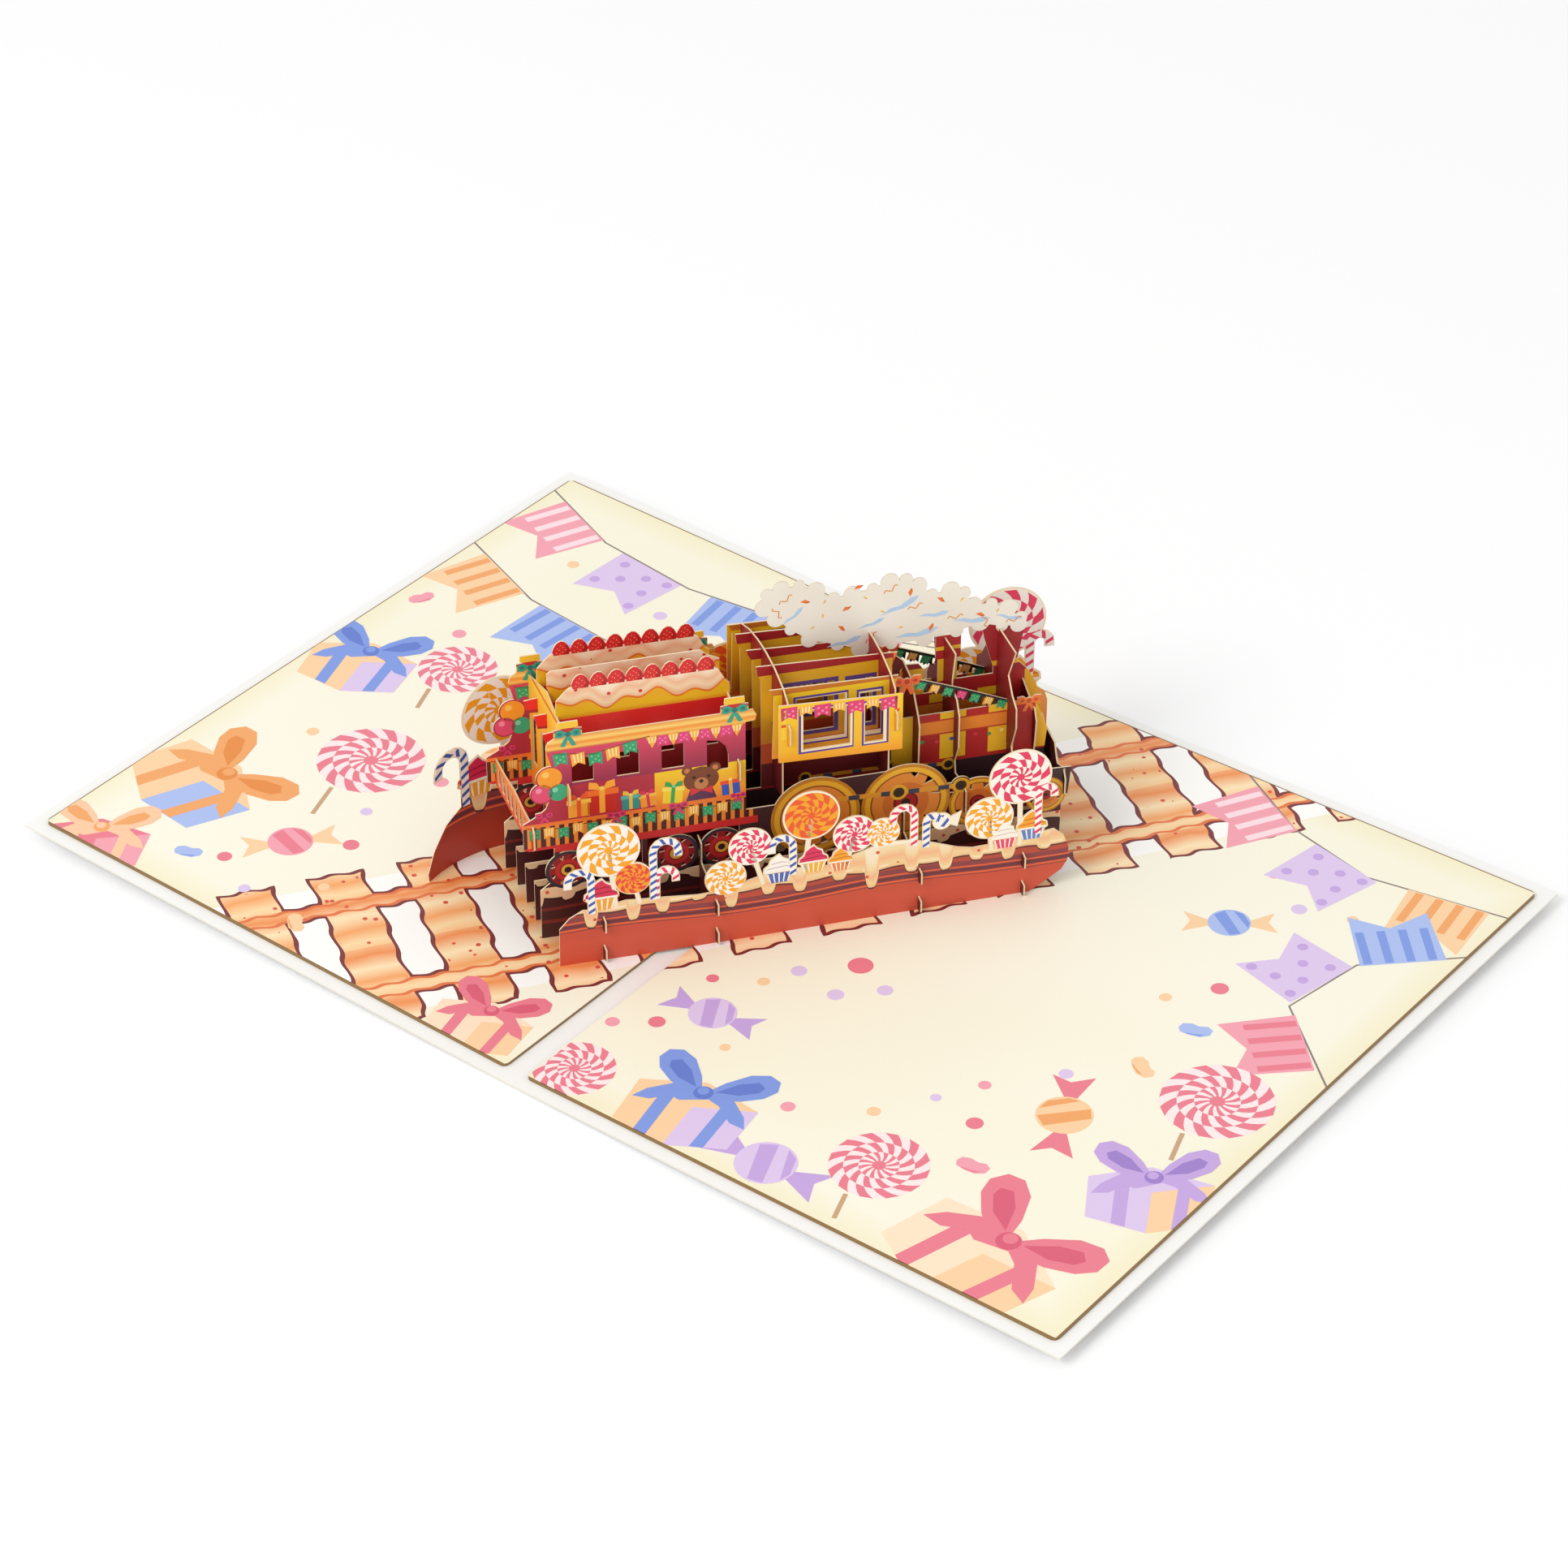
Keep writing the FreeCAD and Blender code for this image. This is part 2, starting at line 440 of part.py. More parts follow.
dome_half = [(8.0, 20.6), (hang, 20.6), (hang, 30.0), (10.5, 32.4), (10.8, 43.0), (9.8, 45.4)]
dome_half += [(8.5, 47.4), (6.8, 50.0), (4.6, 53.0), (0.001, 54.6)]
stack_half = [(8.0, 19.8), (hang + 1.5, 19.8), (hang + 1.5, 26.0), (12.4, 27.0), (8.4, 26.8)]
stack_half += [(7.8, 30.0), (9.9, 34.8), (9.9, 43.6), (8.2, 47.2), (5.2, 48.6), (5.2, 51.0)]
stack_half += [(6.8, 59.0), (0.001, 59.4)]
funnel_half = [(8.0, 20.6), (hang, 20.6), (hang, 26.4), (10.6, 30.6), (9.8, 33.2), (12.2, 39.6)]
funnel_half += [(12.0, 44.8), (9.3, 47.0), (6.7, 51.0), (10.6, 59.6), (0.001, 60.2)]
front_half = [(8.0, 21.0), (12.2, 21.0), (12.2, 25.6), (8.0, 29.4), (8.6, 33.6), (9.0, 38.4)]
front_half += [(7.8, 41.2), (4.4, 42.6), (0.001, 45.0)]
boiler_ribs = []
for half in (dome_half, stack_half, funnel_half, front_half):
    boiler_ribs.append(plate(mirrored_rib(half)))

nose_half = [(0.001, 14.0), (6.0, 14.0), (10.2, 19.6), (hang + 1.2, 20.8), (hang + 1.4, 25.2)]
nose_half += [(hang, 27.8), (10.4, 26.6), (9.6, 27.6)]
nose_half += [(8.2, 31.2), (2.0, 32.4), (0.001, 34.4)]
nose_rib = plate(mirrored_rib(nose_half))

# Every upright sheet and rib, in its place.
sheets = {
    "front_wall": (along(front_wall, -OUTER_Y), -OUTER_Y),
    "rear_wall": (along(rear_wall, REAR_Y), REAR_Y),
    "front_cab_panel": (along(cab_panel, -CAB_PANEL_Y), -CAB_PANEL_Y),
    "rear_cab_panel": (along(cab_panel, CAB_PANEL_Y), CAB_PANEL_Y),
    "front_cab_wall": (along(cab_wall, -SIDE_Y), -SIDE_Y),
    "rear_cab_wall": (along(cab_wall, SIDE_Y), SIDE_Y),
    "front_side": (along(train_side, -SIDE_Y), -SIDE_Y),
    "rear_side": (along(train_side, SIDE_Y), SIDE_Y),
    "front_inner_sheet": (along(inner_sheet, -INNER_Y), -INNER_Y),
    "rear_inner_sheet": (along(inner_sheet, INNER_Y), INNER_Y),
    "middle_sheet": (along(middle_sheet, 0.0), 0.0),
}
ribs = {}
for number, place in enumerate(BASE_RIBS_X):
    ribs["base_rib_%d" % (number + 1)] = (across(base_ribs[number], place), place)
ribs["balcony_rail"] = (across(rail, RAIL_X), RAIL_X)
for number, place in enumerate(WAGON_RIBS_X):
    ribs["wagon_rib_%d" % (number + 1)] = (across(wagon_rib, place), place)
for number, place in enumerate(CAB_RIBS_X):
    ribs["cab_rib_%d" % (number + 1)] = (across(cab_rib, place), place)
for number, place in enumerate(BOILER_RIBS_X):
    ribs["boiler_rib_%d" % (number + 1)] = (across(boiler_ribs[number], place), place)
ribs["nose_rib"] = (across(nose_rib, NOSE_RIB_X), NOSE_RIB_X)

# Slots. A rib's end passes through a slit in an outer sheet. Elsewhere the
# sheet is slotted in the upper half of a crossing and the rib in the lower.
SLIT_ONLY = ("front_wall", "rear_wall", "front_cab_panel", "rear_cab_panel")
HOOKED = ("balcony_rail", "wagon_rib_1", "wagon_rib_2")
shapes = {name: shape for name, (shape, offset) in sheets.items()}
shapes.update({name: shape for name, (shape, offset) in ribs.items()})
for rib_name, (rib_shape, rib_x) in ribs.items():
    for sheet_name, (sheet_shape, sheet_y) in sheets.items():
        slit_only = sheet_name in SLIT_ONLY or (rib_name in HOOKED and abs(sheet_y) == SIDE_Y)
        meeting = sheet_shape.common(rib_shape)
        for piece in meeting.Solids:
            low = piece.BoundBox.ZMin - PLAY
            high = piece.BoundBox.ZMax + PLAY
            middle = (low + high) / 2
            start = low if slit_only else middle
            corner = FreeCAD.Vector(sheet_y - 2, -T / 2 - PLAY, start)
            slit = across(Part.makeBox(4, T + 2 * PLAY, high - start, corner), rib_x)
            shapes[sheet_name] = shapes[sheet_name].cut(slit)
            if not slit_only:
                corner = FreeCAD.Vector(rib_x - 2, -T / 2 - PLAY, low)
                slit = along(Part.makeBox(4, T + 2 * PLAY, middle - low, corner), sheet_y)
                shapes[rib_name] = shapes[rib_name].cut(slit)

# The cloud stands on the front face of the middle sheet; ribs in its way are
# notched to let it pass.
angle = math.radians(LONG_ANGLE)
forward = FreeCAD.Vector(math.sin(angle), -math.cos(angle), 0)
cloud = along(cloud, 0.0)
cloud.translate(forward * T)
gap = along(plate([(-20.0, 55.0), (70.0, 55.0), (70.0, 85.0), (-20.0, 85.0)], T + 2 * PLAY), 0.0)
gap.translate(forward * (T + PLAY))
for name in ribs:
    meeting = shapes[name].common(cloud)
    for piece in meeting.Solids:
        box = piece.BoundBox
        corner = FreeCAD.Vector(box.Center.x - 4, box.Center.y - 4, box.ZMin - PLAY)
        notch = gap.common(Part.makeBox(8, 8, 30, corner))
        shapes[name] = shapes[name].cut(notch)

# Everything that stands on the pages is cut to their slope.
for name in list(shapes):
    shapes[name] = shapes[name].cut(pages["left_page"]).cut(pages["right_page"])
shapes["cover"] = cover
shapes["left_page"] = pages["left_page"]
shapes["right_page"] = pages["right_page"]
shapes["smoke_cloud"] = cloud

os.makedirs("parts", exist_ok=True)
for name, shape in shapes.items():
    largest = sorted(shape.Solids, key=lambda solid: solid.Volume)[-1]
    largest.exportStep("parts/%s.step" % name)
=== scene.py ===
import math

import bmesh
import bpy
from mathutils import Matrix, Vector


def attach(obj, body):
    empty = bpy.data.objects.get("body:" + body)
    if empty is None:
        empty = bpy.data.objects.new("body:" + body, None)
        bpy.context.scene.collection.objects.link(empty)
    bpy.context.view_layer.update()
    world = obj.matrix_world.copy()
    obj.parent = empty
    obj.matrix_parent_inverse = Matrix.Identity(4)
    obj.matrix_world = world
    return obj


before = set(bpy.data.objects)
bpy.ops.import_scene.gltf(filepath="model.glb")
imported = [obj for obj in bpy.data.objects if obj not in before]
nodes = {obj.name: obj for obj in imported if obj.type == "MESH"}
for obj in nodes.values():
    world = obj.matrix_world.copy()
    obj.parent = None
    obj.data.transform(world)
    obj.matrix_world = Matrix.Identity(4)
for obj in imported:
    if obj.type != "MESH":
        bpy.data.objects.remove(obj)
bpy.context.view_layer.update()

# Card cover: one sheet of smooth white board, folded at the middle. It shows
# as a white margin round both pages, with faintly warm cut edges.
MM = 0.001


def rgb(code):
    """A colour written as six hex digits, as the linear values of a shader."""
    parts = [int(code[i:i + 2], 16) / 255 for i in (0, 2, 4)]
    return tuple(c / 12.92 if c <= 0.04045 else ((c + 0.055) / 1.055) ** 2.4 for c in parts) + (1.0,)


class Num:
    """A number in a material's node tree."""

    def __init__(self, tree, socket):
        self.tree = tree
        self.socket = socket

    def calc(self, operation, *others):
        node = self.tree.nodes.new("ShaderNodeMath")
        node.operation = operation
        for slot, value in zip(node.inputs, (self,) + others):
            if isinstance(value, Num):
                self.tree.links.new(value.socket, slot)
            else:
                slot.default_value = value
        return Num(self.tree, node.outputs[0])

    def __add__(self, other):
        return self.calc("ADD", other)

    __radd__ = __add__

    def __sub__(self, other):
        return self.calc("SUBTRACT", other)

    def __rsub__(self, other):
        return (self * -1.0) + other

    def __mul__(self, other):
        return self.calc("MULTIPLY", other)

    __rmul__ = __mul__

    def __truediv__(self, other):
        return self.calc("DIVIDE", other)

    def __gt__(self, other):
        return self.calc("GREATER_THAN", other)

    def __lt__(self, other):
        return self.calc("LESS_THAN", other)

    def inside(self, low, high):
        return (self > low) * (self < high)

    def root(self):
        return self.calc("SQRT")

    def size(self):
        return self.calc("ABSOLUTE")

    def sine(self):
        return self.calc("SINE")

    def least(self, other):
        return self.calc("MINIMUM", other)

    def most(self, other):
        return self.calc("MAXIMUM", other)

    def cycle(self, length):
        return self.calc("WRAP", length, 0.0)

    def floor(self):
        return self.calc("FLOOR")

    def clamp(self):
        return self.most(0.0).least(1.0)

    def chance(self):
        """A steady number from 0 to 1 for each whole number."""
        return ((self * 12.9 + 4.1).sine() * 43.7).cycle(1.0)


class Paint:
    """A printed or plain paper material. Its colour is built up in layers."""

    def __init__(self, name, ground, roughness=0.5):
        self.material = bpy.data.materials.new(name)
        self.material.use_nodes = True
        self.tree = self.material.node_tree
        self.shader = self.tree.nodes["Principled BSDF"]
        self.shader.inputs["Roughness"].default_value = roughness
        self.place = self.node("ShaderNodeTexCoord").outputs
        x, y, z = self.node("ShaderNodeSeparateXYZ", {}, {0: self.place["Object"]}).outputs
        self.x = Num(self.tree, x) / MM
        self.y = Num(self.tree, y) / MM
        self.z = Num(self.tree, z) / MM
        nx, ny, nz = self.node("ShaderNodeSeparateXYZ", {}, {0: self.place["Normal"]}).outputs
        self.nx = Num(self.tree, nx)
        self.ny = Num(self.tree, ny)
        self.nz = Num(self.tree, nz)
        self.colour = rgb(ground)

    def node(self, kind, settings=None, inputs=None):
        node = self.tree.nodes.new(kind)
        for key, value in (settings or {}).items():
            setattr(node, key, value)
        for key, value in (inputs or {}).items():
            if isinstance(value, Num):
                value = value.socket
            if isinstance(value, bpy.types.NodeSocket):
                self.tree.links.new(value, node.inputs[key])
            else:
                node.inputs[key].default_value = value
        return node

    def over(self, colour, mask):
        if isinstance(colour, str):
            colour = rgb(colour)
        self.colour = self.node("ShaderNodeMix", {"data_type": "RGBA"},
                                {0: mask, 6: self.colour, 7: colour}).outputs[2]

    def ramp(self, value, low, high, stops, steps=False):
        """The colours of stops, (value, hex) pairs, read at value."""
        node = self.node("ShaderNodeValToRGB", {}, {0: (value - low) / (high - low)})
        band = node.color_ramp
        band.interpolation = "CONSTANT" if steps else "LINEAR"
        while len(band.elements) < len(stops):
            band.elements.new(0.5)
        for element, (at, code) in zip(band.elements, stops):
            element.position = (at - low) / (high - low)
            element.color = rgb(code)
        return node.outputs[0]

    def noise(self, scale, detail=2.0):
        node = self.node("ShaderNodeTexNoise", {}, {"Vector": self.place["Object"], "Scale": scale,
                "Detail": detail})
        return Num(self.tree, node.outputs[0])

    def spots(self, scale, size):
        node = self.node("ShaderNodeTexVoronoi", {}, {"Vector": self.place["Object"], "Scale": scale,
                "Randomness": 0.9})
        return Num(self.tree, node.outputs["Distance"]) < size

    def mottle(self, code, scale, share):
        self.over(code, (self.noise(scale, 3.0) - 0.42) * 2.2 * share)

    def finish(self):
        if isinstance(self.colour, tuple):
            self.shader.inputs["Base Color"].default_value = self.colour
        else:
            self.tree.links.new(self.colour, self.shader.inputs["Base Color"])
        return self.material


def dress(name, material):
    for slot in nodes[name].material_slots:
        slot.material = material


board = Paint("white_board", "F4F3EF", 0.55)
board.mottle("ECEAE4", 60.0, 0.25)
board.over("E3DDCF", board.nz.size() < 0.5)
dress("cover", board.finish())

# Printed pages: a thick cream page on each half, with a biscuit railway track
# that crosses the fold on the slant. The cut edges are browned.
PAGE_EDGE_X = 146.5
PAGE_EDGE_Y = 96.5
TRACK = math.radians(57.0)
TIE_PITCH = 21.5
TIE_SHIFT = 4.0
TIE_HALF = 6.8
TRACK_HALF = 29.0
RAIL_AT = 16.4
RAIL_HALF = 3.2
OUTLINE = 0.9
for name in ("left_page", "right_page"):
    page = Paint(name + "_print", "F7F3E0", 0.45)
    page.over("F3ECC8", (page.noise(9.0) - 0.45) * 1.4)
    edge_x = PAGE_EDGE_X - page.x.size()
    edge_y = PAGE_EDGE_Y - page.y.size()
    near_edge = edge_x.least(edge_y)
    page.over("EFE3AE", (1.0 - near_edge / 9.0).most(0.0) * 0.5)
    along = page.x * math.cos(TRACK) + page.y * math.sin(TRACK)
    aside = page.y * math.cos(TRACK) - page.x * math.sin(TRACK)
    ripple = (along * 0.9 + aside * 0.6).sine() * 0.35 + (page.noise(90.0) - 0.5) * 1.6
    tie_at = ((along + TIE_SHIFT).cycle(TIE_PITCH) - TIE_PITCH / 2).size()
    tie = (TIE_HALF - tie_at).least(TRACK_HALF - aside.size())
    rail = RAIL_HALF - (aside.size() - RAIL_AT).size()
    wood = tie.most(rail) + ripple
    page.over("FCFBF6", aside.size() < TRACK_HALF - 4.0)
    page.over("7A2B2B", wood > 0.0)
    biscuit = page.ramp(aside.cycle(19.0) + page.noise(70.0) * 5.0, 0.0, 24.0,
                        [(0.0, "F6B573"), (5.0, "FAD9A6"), (9.0, "F3A35E"), (14.0, "FBE3B6"),
                         (19.0, "EE8F4C"), (24.0, "F9CE97")])
    page.over(biscuit, wood > OUTLINE)
    page.over("E3743C", (rail + ripple).inside(OUTLINE, OUTLINE + 0.9))
    page.over("D8503A", page.spots(260.0, 0.16) * (wood > OUTLINE + 0.6))
    page.over("8A6A3C", (near_edge < 0.35) + (page.nz.size() < 0.5))
    dress(name, page.finish())

# Platform walls: printed card, terracotta below with streaks of chocolate, and
# icing that runs down from the wavy top. Both walls stand on the pages.
LONG_ANGLE = math.radians(52.3)
CROSS_ANGLE = math.radians(148.0)
LONG = Vector((math.cos(LONG_ANGLE), math.sin(LONG_ANGLE), 0.0))
ACROSS = Vector((math.cos(CROSS_ANGLE), math.sin(CROSS_ANGLE), 0.0))
BACK = Vector((-math.sin(LONG_ANGLE), math.cos(LONG_ANGLE), 0.0))
CUT_EDGE = "EAD8B4"
T = 0.4
FRONT_WALL_Y = -25.0
REAR_WALL_Y = 23.5


def on_sheet(paint, offset):
    """Distance along a long sheet, and how squarely the surface faces out."""
    u = paint.x * LONG.x + paint.y * LONG.y - offset * ACROSS.dot(LONG)
    facing = (paint.nx * BACK.x + paint.ny * BACK.y).size()
    return u, facing


def drips(u, pitch, half, deepest):
    """How far icing runs down at u: one rounded drip in each pitch."""
    cell = (u / pitch).floor()
    side = (u.cycle(pitch) - pitch * (0.36 + 0.28 * (cell + 7.0).chance())).size() / half
    round_end = (1.0 - side * side * side * side).most(0.0)
    return round_end * (0.15 + 0.85 * cell.chance()) * deepest


def wall_print(name, offset, scale, shift, body):
    paint = Paint(name, body[0])
    u, facing = on_sheet(paint, offset)
    u = (u - shift) / scale
    z = paint.z / scale
    paint.over(paint.ramp(z, 0.0, 15.0, [(0.0, body[0]), (7.0, body[0]), (12.0, body[1]),
                                         (15.0, body[2])]), 1.0)
    edge = 15.2 + (u * 0.42).sine() * 0.35 - drips(u, 8.2, 1.7, 4.6)
    streak = z - (u * 0.09).sine() * 0.7 + paint.noise(30.0) * 1.2
    paint.over("8A3A3E", streak.inside(10.4, 14.4))
    paint.over("E8602F", streak.inside(10.7, 11.2) + streak.inside(12.6, 13.0))
    paint.over("6B2A34", streak.inside(11.5, 12.3))
    paint.over("5E2A2C", z > edge - 0.45)
    icing = paint.ramp(z - edge, 0.0, 8.0, [(0.0, "F0C088"), (1.2, "F3D39C"), (3.0, "F4B98A"),
                                            (5.0, "F3D9A6"), (8.0, "F8E8CC")])
    paint.over(icing, z > edge)
    paint.over("FAE6C0", (z - edge).inside(0.5, 1.1) * (paint.noise(120.0) > 0.5) * 0.8)
    paint.over("DC5236", paint.spots(330.0 / scale, 0.16) * (z > edge + 0.5) * (z < 20.5))
    if scale > 1.0:
        peach = paint.ramp(z, 0.0, 20.0, [(0.0, "C8501C"), (8.0, "EE7C2A"), (14.0, "F8A04A"),
                                          (20.0, "FAB868")])
        paint.over(peach, (u > 51.2) * (z < 20.4))
    paint.over("FBEFD8", z > 21.5)
    paint.over(CUT_EDGE, facing < 0.6)
    dress(name, paint.finish())


REAR_SCALE = 1.27
REAR_SHIFT = 3.0
wall_print("front_wall", FRONT_WALL_Y, 1.0, 0.0, ("CE5038", "C44A34", "B04430"))
wall_print("rear_wall", REAR_WALL_Y, REAR_SCALE, REAR_SHIFT, ("B83A26", "A03426", "7E2A24"))

# Train sides: one printed sheet each, with the platform step, wheels with gold
# and red centres, the dark running board and the red and gold wagon side.
WAGON_WHEELS = (-55.6, -44.9, -30.2, -19.6)
SIDE_Y = 14.0


def wheel_print(paint, du, dz, radius, stops):
    reach = (du * du + dz * dz).root() / radius
    paint.over(paint.ramp(reach, 0.0, 1.0, stops, True), reach < 1.0)


def side_print(name, offset):
    paint = Paint(name, "43181A")
    u, facing = on_sheet(paint, offset)
    z = paint.z
    step_edge = 13.6 + (u * 0.35).sine() * 0.8 - drips(u, 7.4, 1.6, 3.2)
    layer = z + paint.noise(40.0) * 2.0
    paint.over("7C2622", layer.inside(6.6, 7.6) + layer.inside(10.2, 11.0))
    paint.over("2E1014", z > step_edge - 0.5)
    paint.over("EFC79A", z > step_edge)
    paint.over("D8503A", paint.spots(300.0, 0.15) * (z > step_edge + 0.4))
    paint.over("4E1418", z > 15.9)
    small = [(0.0, "2A1A1A"), (0.16, "E8A838"), (0.30, "7A1418"), (0.36, "C4262A"), (0.56, "8E1A1E"),
             (0.84, "2C2A34")]
    du = (u - WAGON_WHEELS[0]).size()
    for centre in WAGON_WHEELS[1:]:
        du = du.least((u - centre).size())
    wheel_print(paint, du, z - 20.2, 5.2, small)
    gold = [(0.0, "2A1816"), (0.10, "A81E20"), (0.22, "7E1418"), (0.28, "D8742C"), (0.52, "E88E34"),
            (0.76, "9C5A1E"), (0.80, "F2B62C"), (0.92, "C88420")]
    paint.over("3E1C20", (u > -15.5) * (z > 20.5))
    wheel_print(paint, (u - 2.6).size().least((u - 24.1).size()), z - 24.9, 10.6, gold)
    wheel_print(paint, u - 41.4, z - 22.0, 6.9, gold)
    wheel_print(paint, u - 57.9, z - 21.0, 4.9, gold)
    wagon = (u < -11.0) * (z > 25.6)
    paint.over("D02A28", wagon * (z < 27.6))
    rails = (u + 0.2).cycle(2.15) < 0.95
    paint.over("4C1A18", wagon * z.inside(27.6, 33.2))
    paint.over("F0892E", wagon * z.inside(27.6, 33.2) * rails)
    paint.over("EE7A2C", wagon * z.inside(33.2, 34.2))
    paint.over(paint.ramp(z, 34.0, 44.0, [(34.0, "EE7B22"), (38.0, "F4A824"), (44.0, "F2CB22")]),
               wagon * z.inside(34.2, 44.0))
    paint.over("B02A3C", wagon * z.inside(34.2, 54.0) * (u < -35.0))
    paint.over(paint.ramp(z, 43.0, 54.0, [(43.0, "8E2848"), (48.0, "B2344E"), (54.0, "D84262")]),
               wagon * z.inside(43.6, 54.0))
    mould = paint.ramp(z, 53.6, 57.4, [(53.6, "C8641E"), (54.2, "F6C560"), (55.2, "F0902C"),
                                       (56.0, "F8D070"), (57.4, "E0802A")])
    paint.over(mould, wagon * (z > 53.6))
    paint.over("F2C22E", wagon * (z > 57.4))
    paint.over("C4262A", wagon * z.inside(58.4, 59.4))
    paint.over(CUT_EDGE, facing < 0.6)
    dress(name, paint.finish())


side_print("front_side", -SIDE_Y)
side_print("rear_side", SIDE_Y)

# Inner sheets and the middle sheet: cake roof with icing over a yellow and a
# red band, red cab roof, boiler in red and yellow patches, dark frame below.
INNER_Y = 7.0


def inner_print(name, offset, middle):
    paint = Paint(name, "4A161A")
    u, facing = on_sheet(paint, offset)
    z = paint.z
    # Base zone: red card with horizontal bars every 4.4 mm. The lighter orange bands, and the orange flecks
    # on them, are painted highlights. The dark red bands between them are darker stripes.
    bars = (z + 0.8).cycle(4.4)
    paint.over("A81C1C", z > 12.0)
    paint.over("D84A22", (bars < 1.0) * (z > 12.0))
    paint.over("741418", bars.inside(2.2, 3.4) * (z > 12.0))
    paint.over("E07A3A", (bars < 0.4) * (z > 12.0) * (paint.noise(60.0) > 0.5))
    base_edge = 12.2 - drips(u, 5.2, 1.4, 2.6)
    paint.over("2E1014", z.inside(8.0, 12.6) * (z > base_edge - 0.4))
    paint.over("EFC79A", z.inside(8.0, 13.2) * (z > base_edge))
    wagon = u < -14.0
    paint.over("A82A2E", wagon * (z > 31.0))
    paint.over(paint.ramp(u, -56.0, -14.0, [(-56.0, "E82A26"), (-44.0, "F03A34"), (-34.0, "E62222"),
                                            (-14.0, "D81C20")]),
               wagon * (z > 51.0))
    paint.over(paint.ramp(z, 56.6, 61.0, [(56.6, "F08A20"), (58.2, "F5C51E"), (61.0, "F0B020")]),
               wagon * (z > 57.0))
    icing_edge = 60.6 + (u * 0.33).sine() * 1.0 + (u * 0.78 + 1.0).sine() * 0.9
    paint.over("E8761C", wagon * (z > icing_edge - 0.5))
    paint.over(paint.ramp(z - icing_edge + (paint.noise(60.0) - 0.5) * 2.4, 0.0, 5.0,
                          [(0.0, "F3BC8E"), (1.5, "FBDDB4"), (3.0, "F6C096"), (5.0, "FDEACC")]),
               wagon * (z > icing_edge))
    paint.over("D83A3A", paint.spots(330.0, 0.15) * wagon * (z > icing_edge + 0.5))
    if not middle:
        paint.over("D5222A", wagon * (z > 65.35) * u.inside(-51.6, -18.2))
    cab = u.inside(-10.0, 23.1) * (z > 30.0)
    paint.over("6A1A1C", cab)
    paint.over("D8582A", cab * z.inside(36.5, 42.0))
    paint.over(paint.ramp(z, 42.0, 62.0, [(42.0, "E8961E"), (50.0, "F3C21C"), (62.0, "E8B01C")]),
               cab * (z > 42.0))
    wide_window = u.inside(-3.0, 10.4) * z.inside(43.0, 58.0)
    narrow_window = u.inside(11.9, 19.4) * z.inside(43.0, 57.6)
    paint.over("5A3A8C", wide_window + narrow_window)
    paint.over("A51C22", u.inside(-10.0, 25.0) * (z > 60.9))
    boiler = u.inside(23.1, 62.0) * (z > 29.6)
    paint.over("B5201F", boiler)
    patch = (u - 23.1).cycle(11.6) < 6.2
    paint.over("F2BE20", boiler * patch * z.inside(30.6, 44.0))
    paint.over("EE8A2A", u.inside(28.8, 51.0) * z.inside(37.8, 41.4))
    paint.over("C2301F", u.inside(28.8, 51.0) * (z.inside(37.5, 37.9) + z.inside(41.3, 41.7)))
    paint.over("F0B41E", (u > 57.6) * (z > 30.0))
    paint.over("2C151B", (u > -15.0) * z.inside(22.0, 29.6))
    if middle:
        dome = u.inside(27.0, 34.0) * (z > 44.6)
        paint.over("F0B41E", dome)
        paint.over("8E1A1C", dome * (z > 51.8))
        stack = u.inside(35.0, 43.0) * (z > 47.5)
        paint.over("F2BC1E", stack)
        paint.over("B21E20", stack * (z > 53.6))
        paint.over("F2BC1E", stack * z.inside(56.0, 57.0))
        funnel = u.inside(46.0, 58.0) * (z > 47.5)
        paint.over("A51C22", funnel)
        paint.over("F0B41E", funnel * z.inside(49.6, 51.0))
    else:
        paint.over("1E1A1C", u.inside(27.5, 52.0) * (z > 43.8))
        paint.over("F07A28", (u > 52.0) * (z > 42.6))
        paint.over("F07A28", u.inside(23.3, 30.4) * (z > 49.0))
    paint.over(CUT_EDGE, facing < 0.6)
    dress(name, paint.finish())


inner_print("front_inner_sheet", -INNER_Y, False)
inner_print("rear_inner_sheet", INNER_Y, False)
inner_print("middle_sheet", 0.0, True)

# Cab walls and cab panels: yellow card with purple window frames, hung on the
# cab's ribs. The panels lie outside the walls and have a pink valance on top.
CAB_PANEL_Y = 17.5
WALL_FRAME_TOP = 58.8
PANEL_FRAME_TOP = 57.9


def cab_print(name, offset, top):
    paint = Paint(name, "F2B01E")
    u, facing = on_sheet(paint, offset)
    z = paint.z
    paint.over(paint.ramp(z, 42.0, 61.0, [(42.0, "F0921E"), (47.0, "F4B81C"), (61.0, "F3CC1E")]), 1.0)
    wide_frame = u.inside(-2.7, 10.2) * z.inside(45.4, top)
    narrow_frame = u.inside(12.1, 18.4) * z.inside(45.2, top - 0.4)
    paint.over("5C3A94", wide_frame + narrow_frame)
    wide_border = u.inside(-2.1, 9.9) * z.inside(45.9, top - 0.6)
    narrow_border = u.inside(12.6, 17.9) * z.inside(45.6, top - 1.0)
    paint.over("F6E2B4", wide_border + narrow_border)
    paint.over("C8741C", z > 60.0)
    paint.over(CUT_EDGE, facing < 0.6)
    dress(name, paint.finish())


for side, word in ((-1, "front"), (1, "rear")):
    cab_print(word + "_cab_wall", side * SIDE_Y, WALL_FRAME_TOP)
    cab_print(word + "_cab_panel", side * CAB_PANEL_Y, PANEL_FRAME_TOP)

# Smoke cloud: warm white card with pale blue shading along its lower edge and
# gold flecks, glued on the middle sheet.
cloud = Paint("cloud_print", "EBE3D3")
cloud.over("F4EEE0", (cloud.noise(50.0) - 0.42).clamp() * 3.0)
cloud.over("D9CBB0", (cloud.nx * BACK.x + cloud.ny * BACK.y).size() < 0.6)
dress("smoke_cloud", cloud.finish())

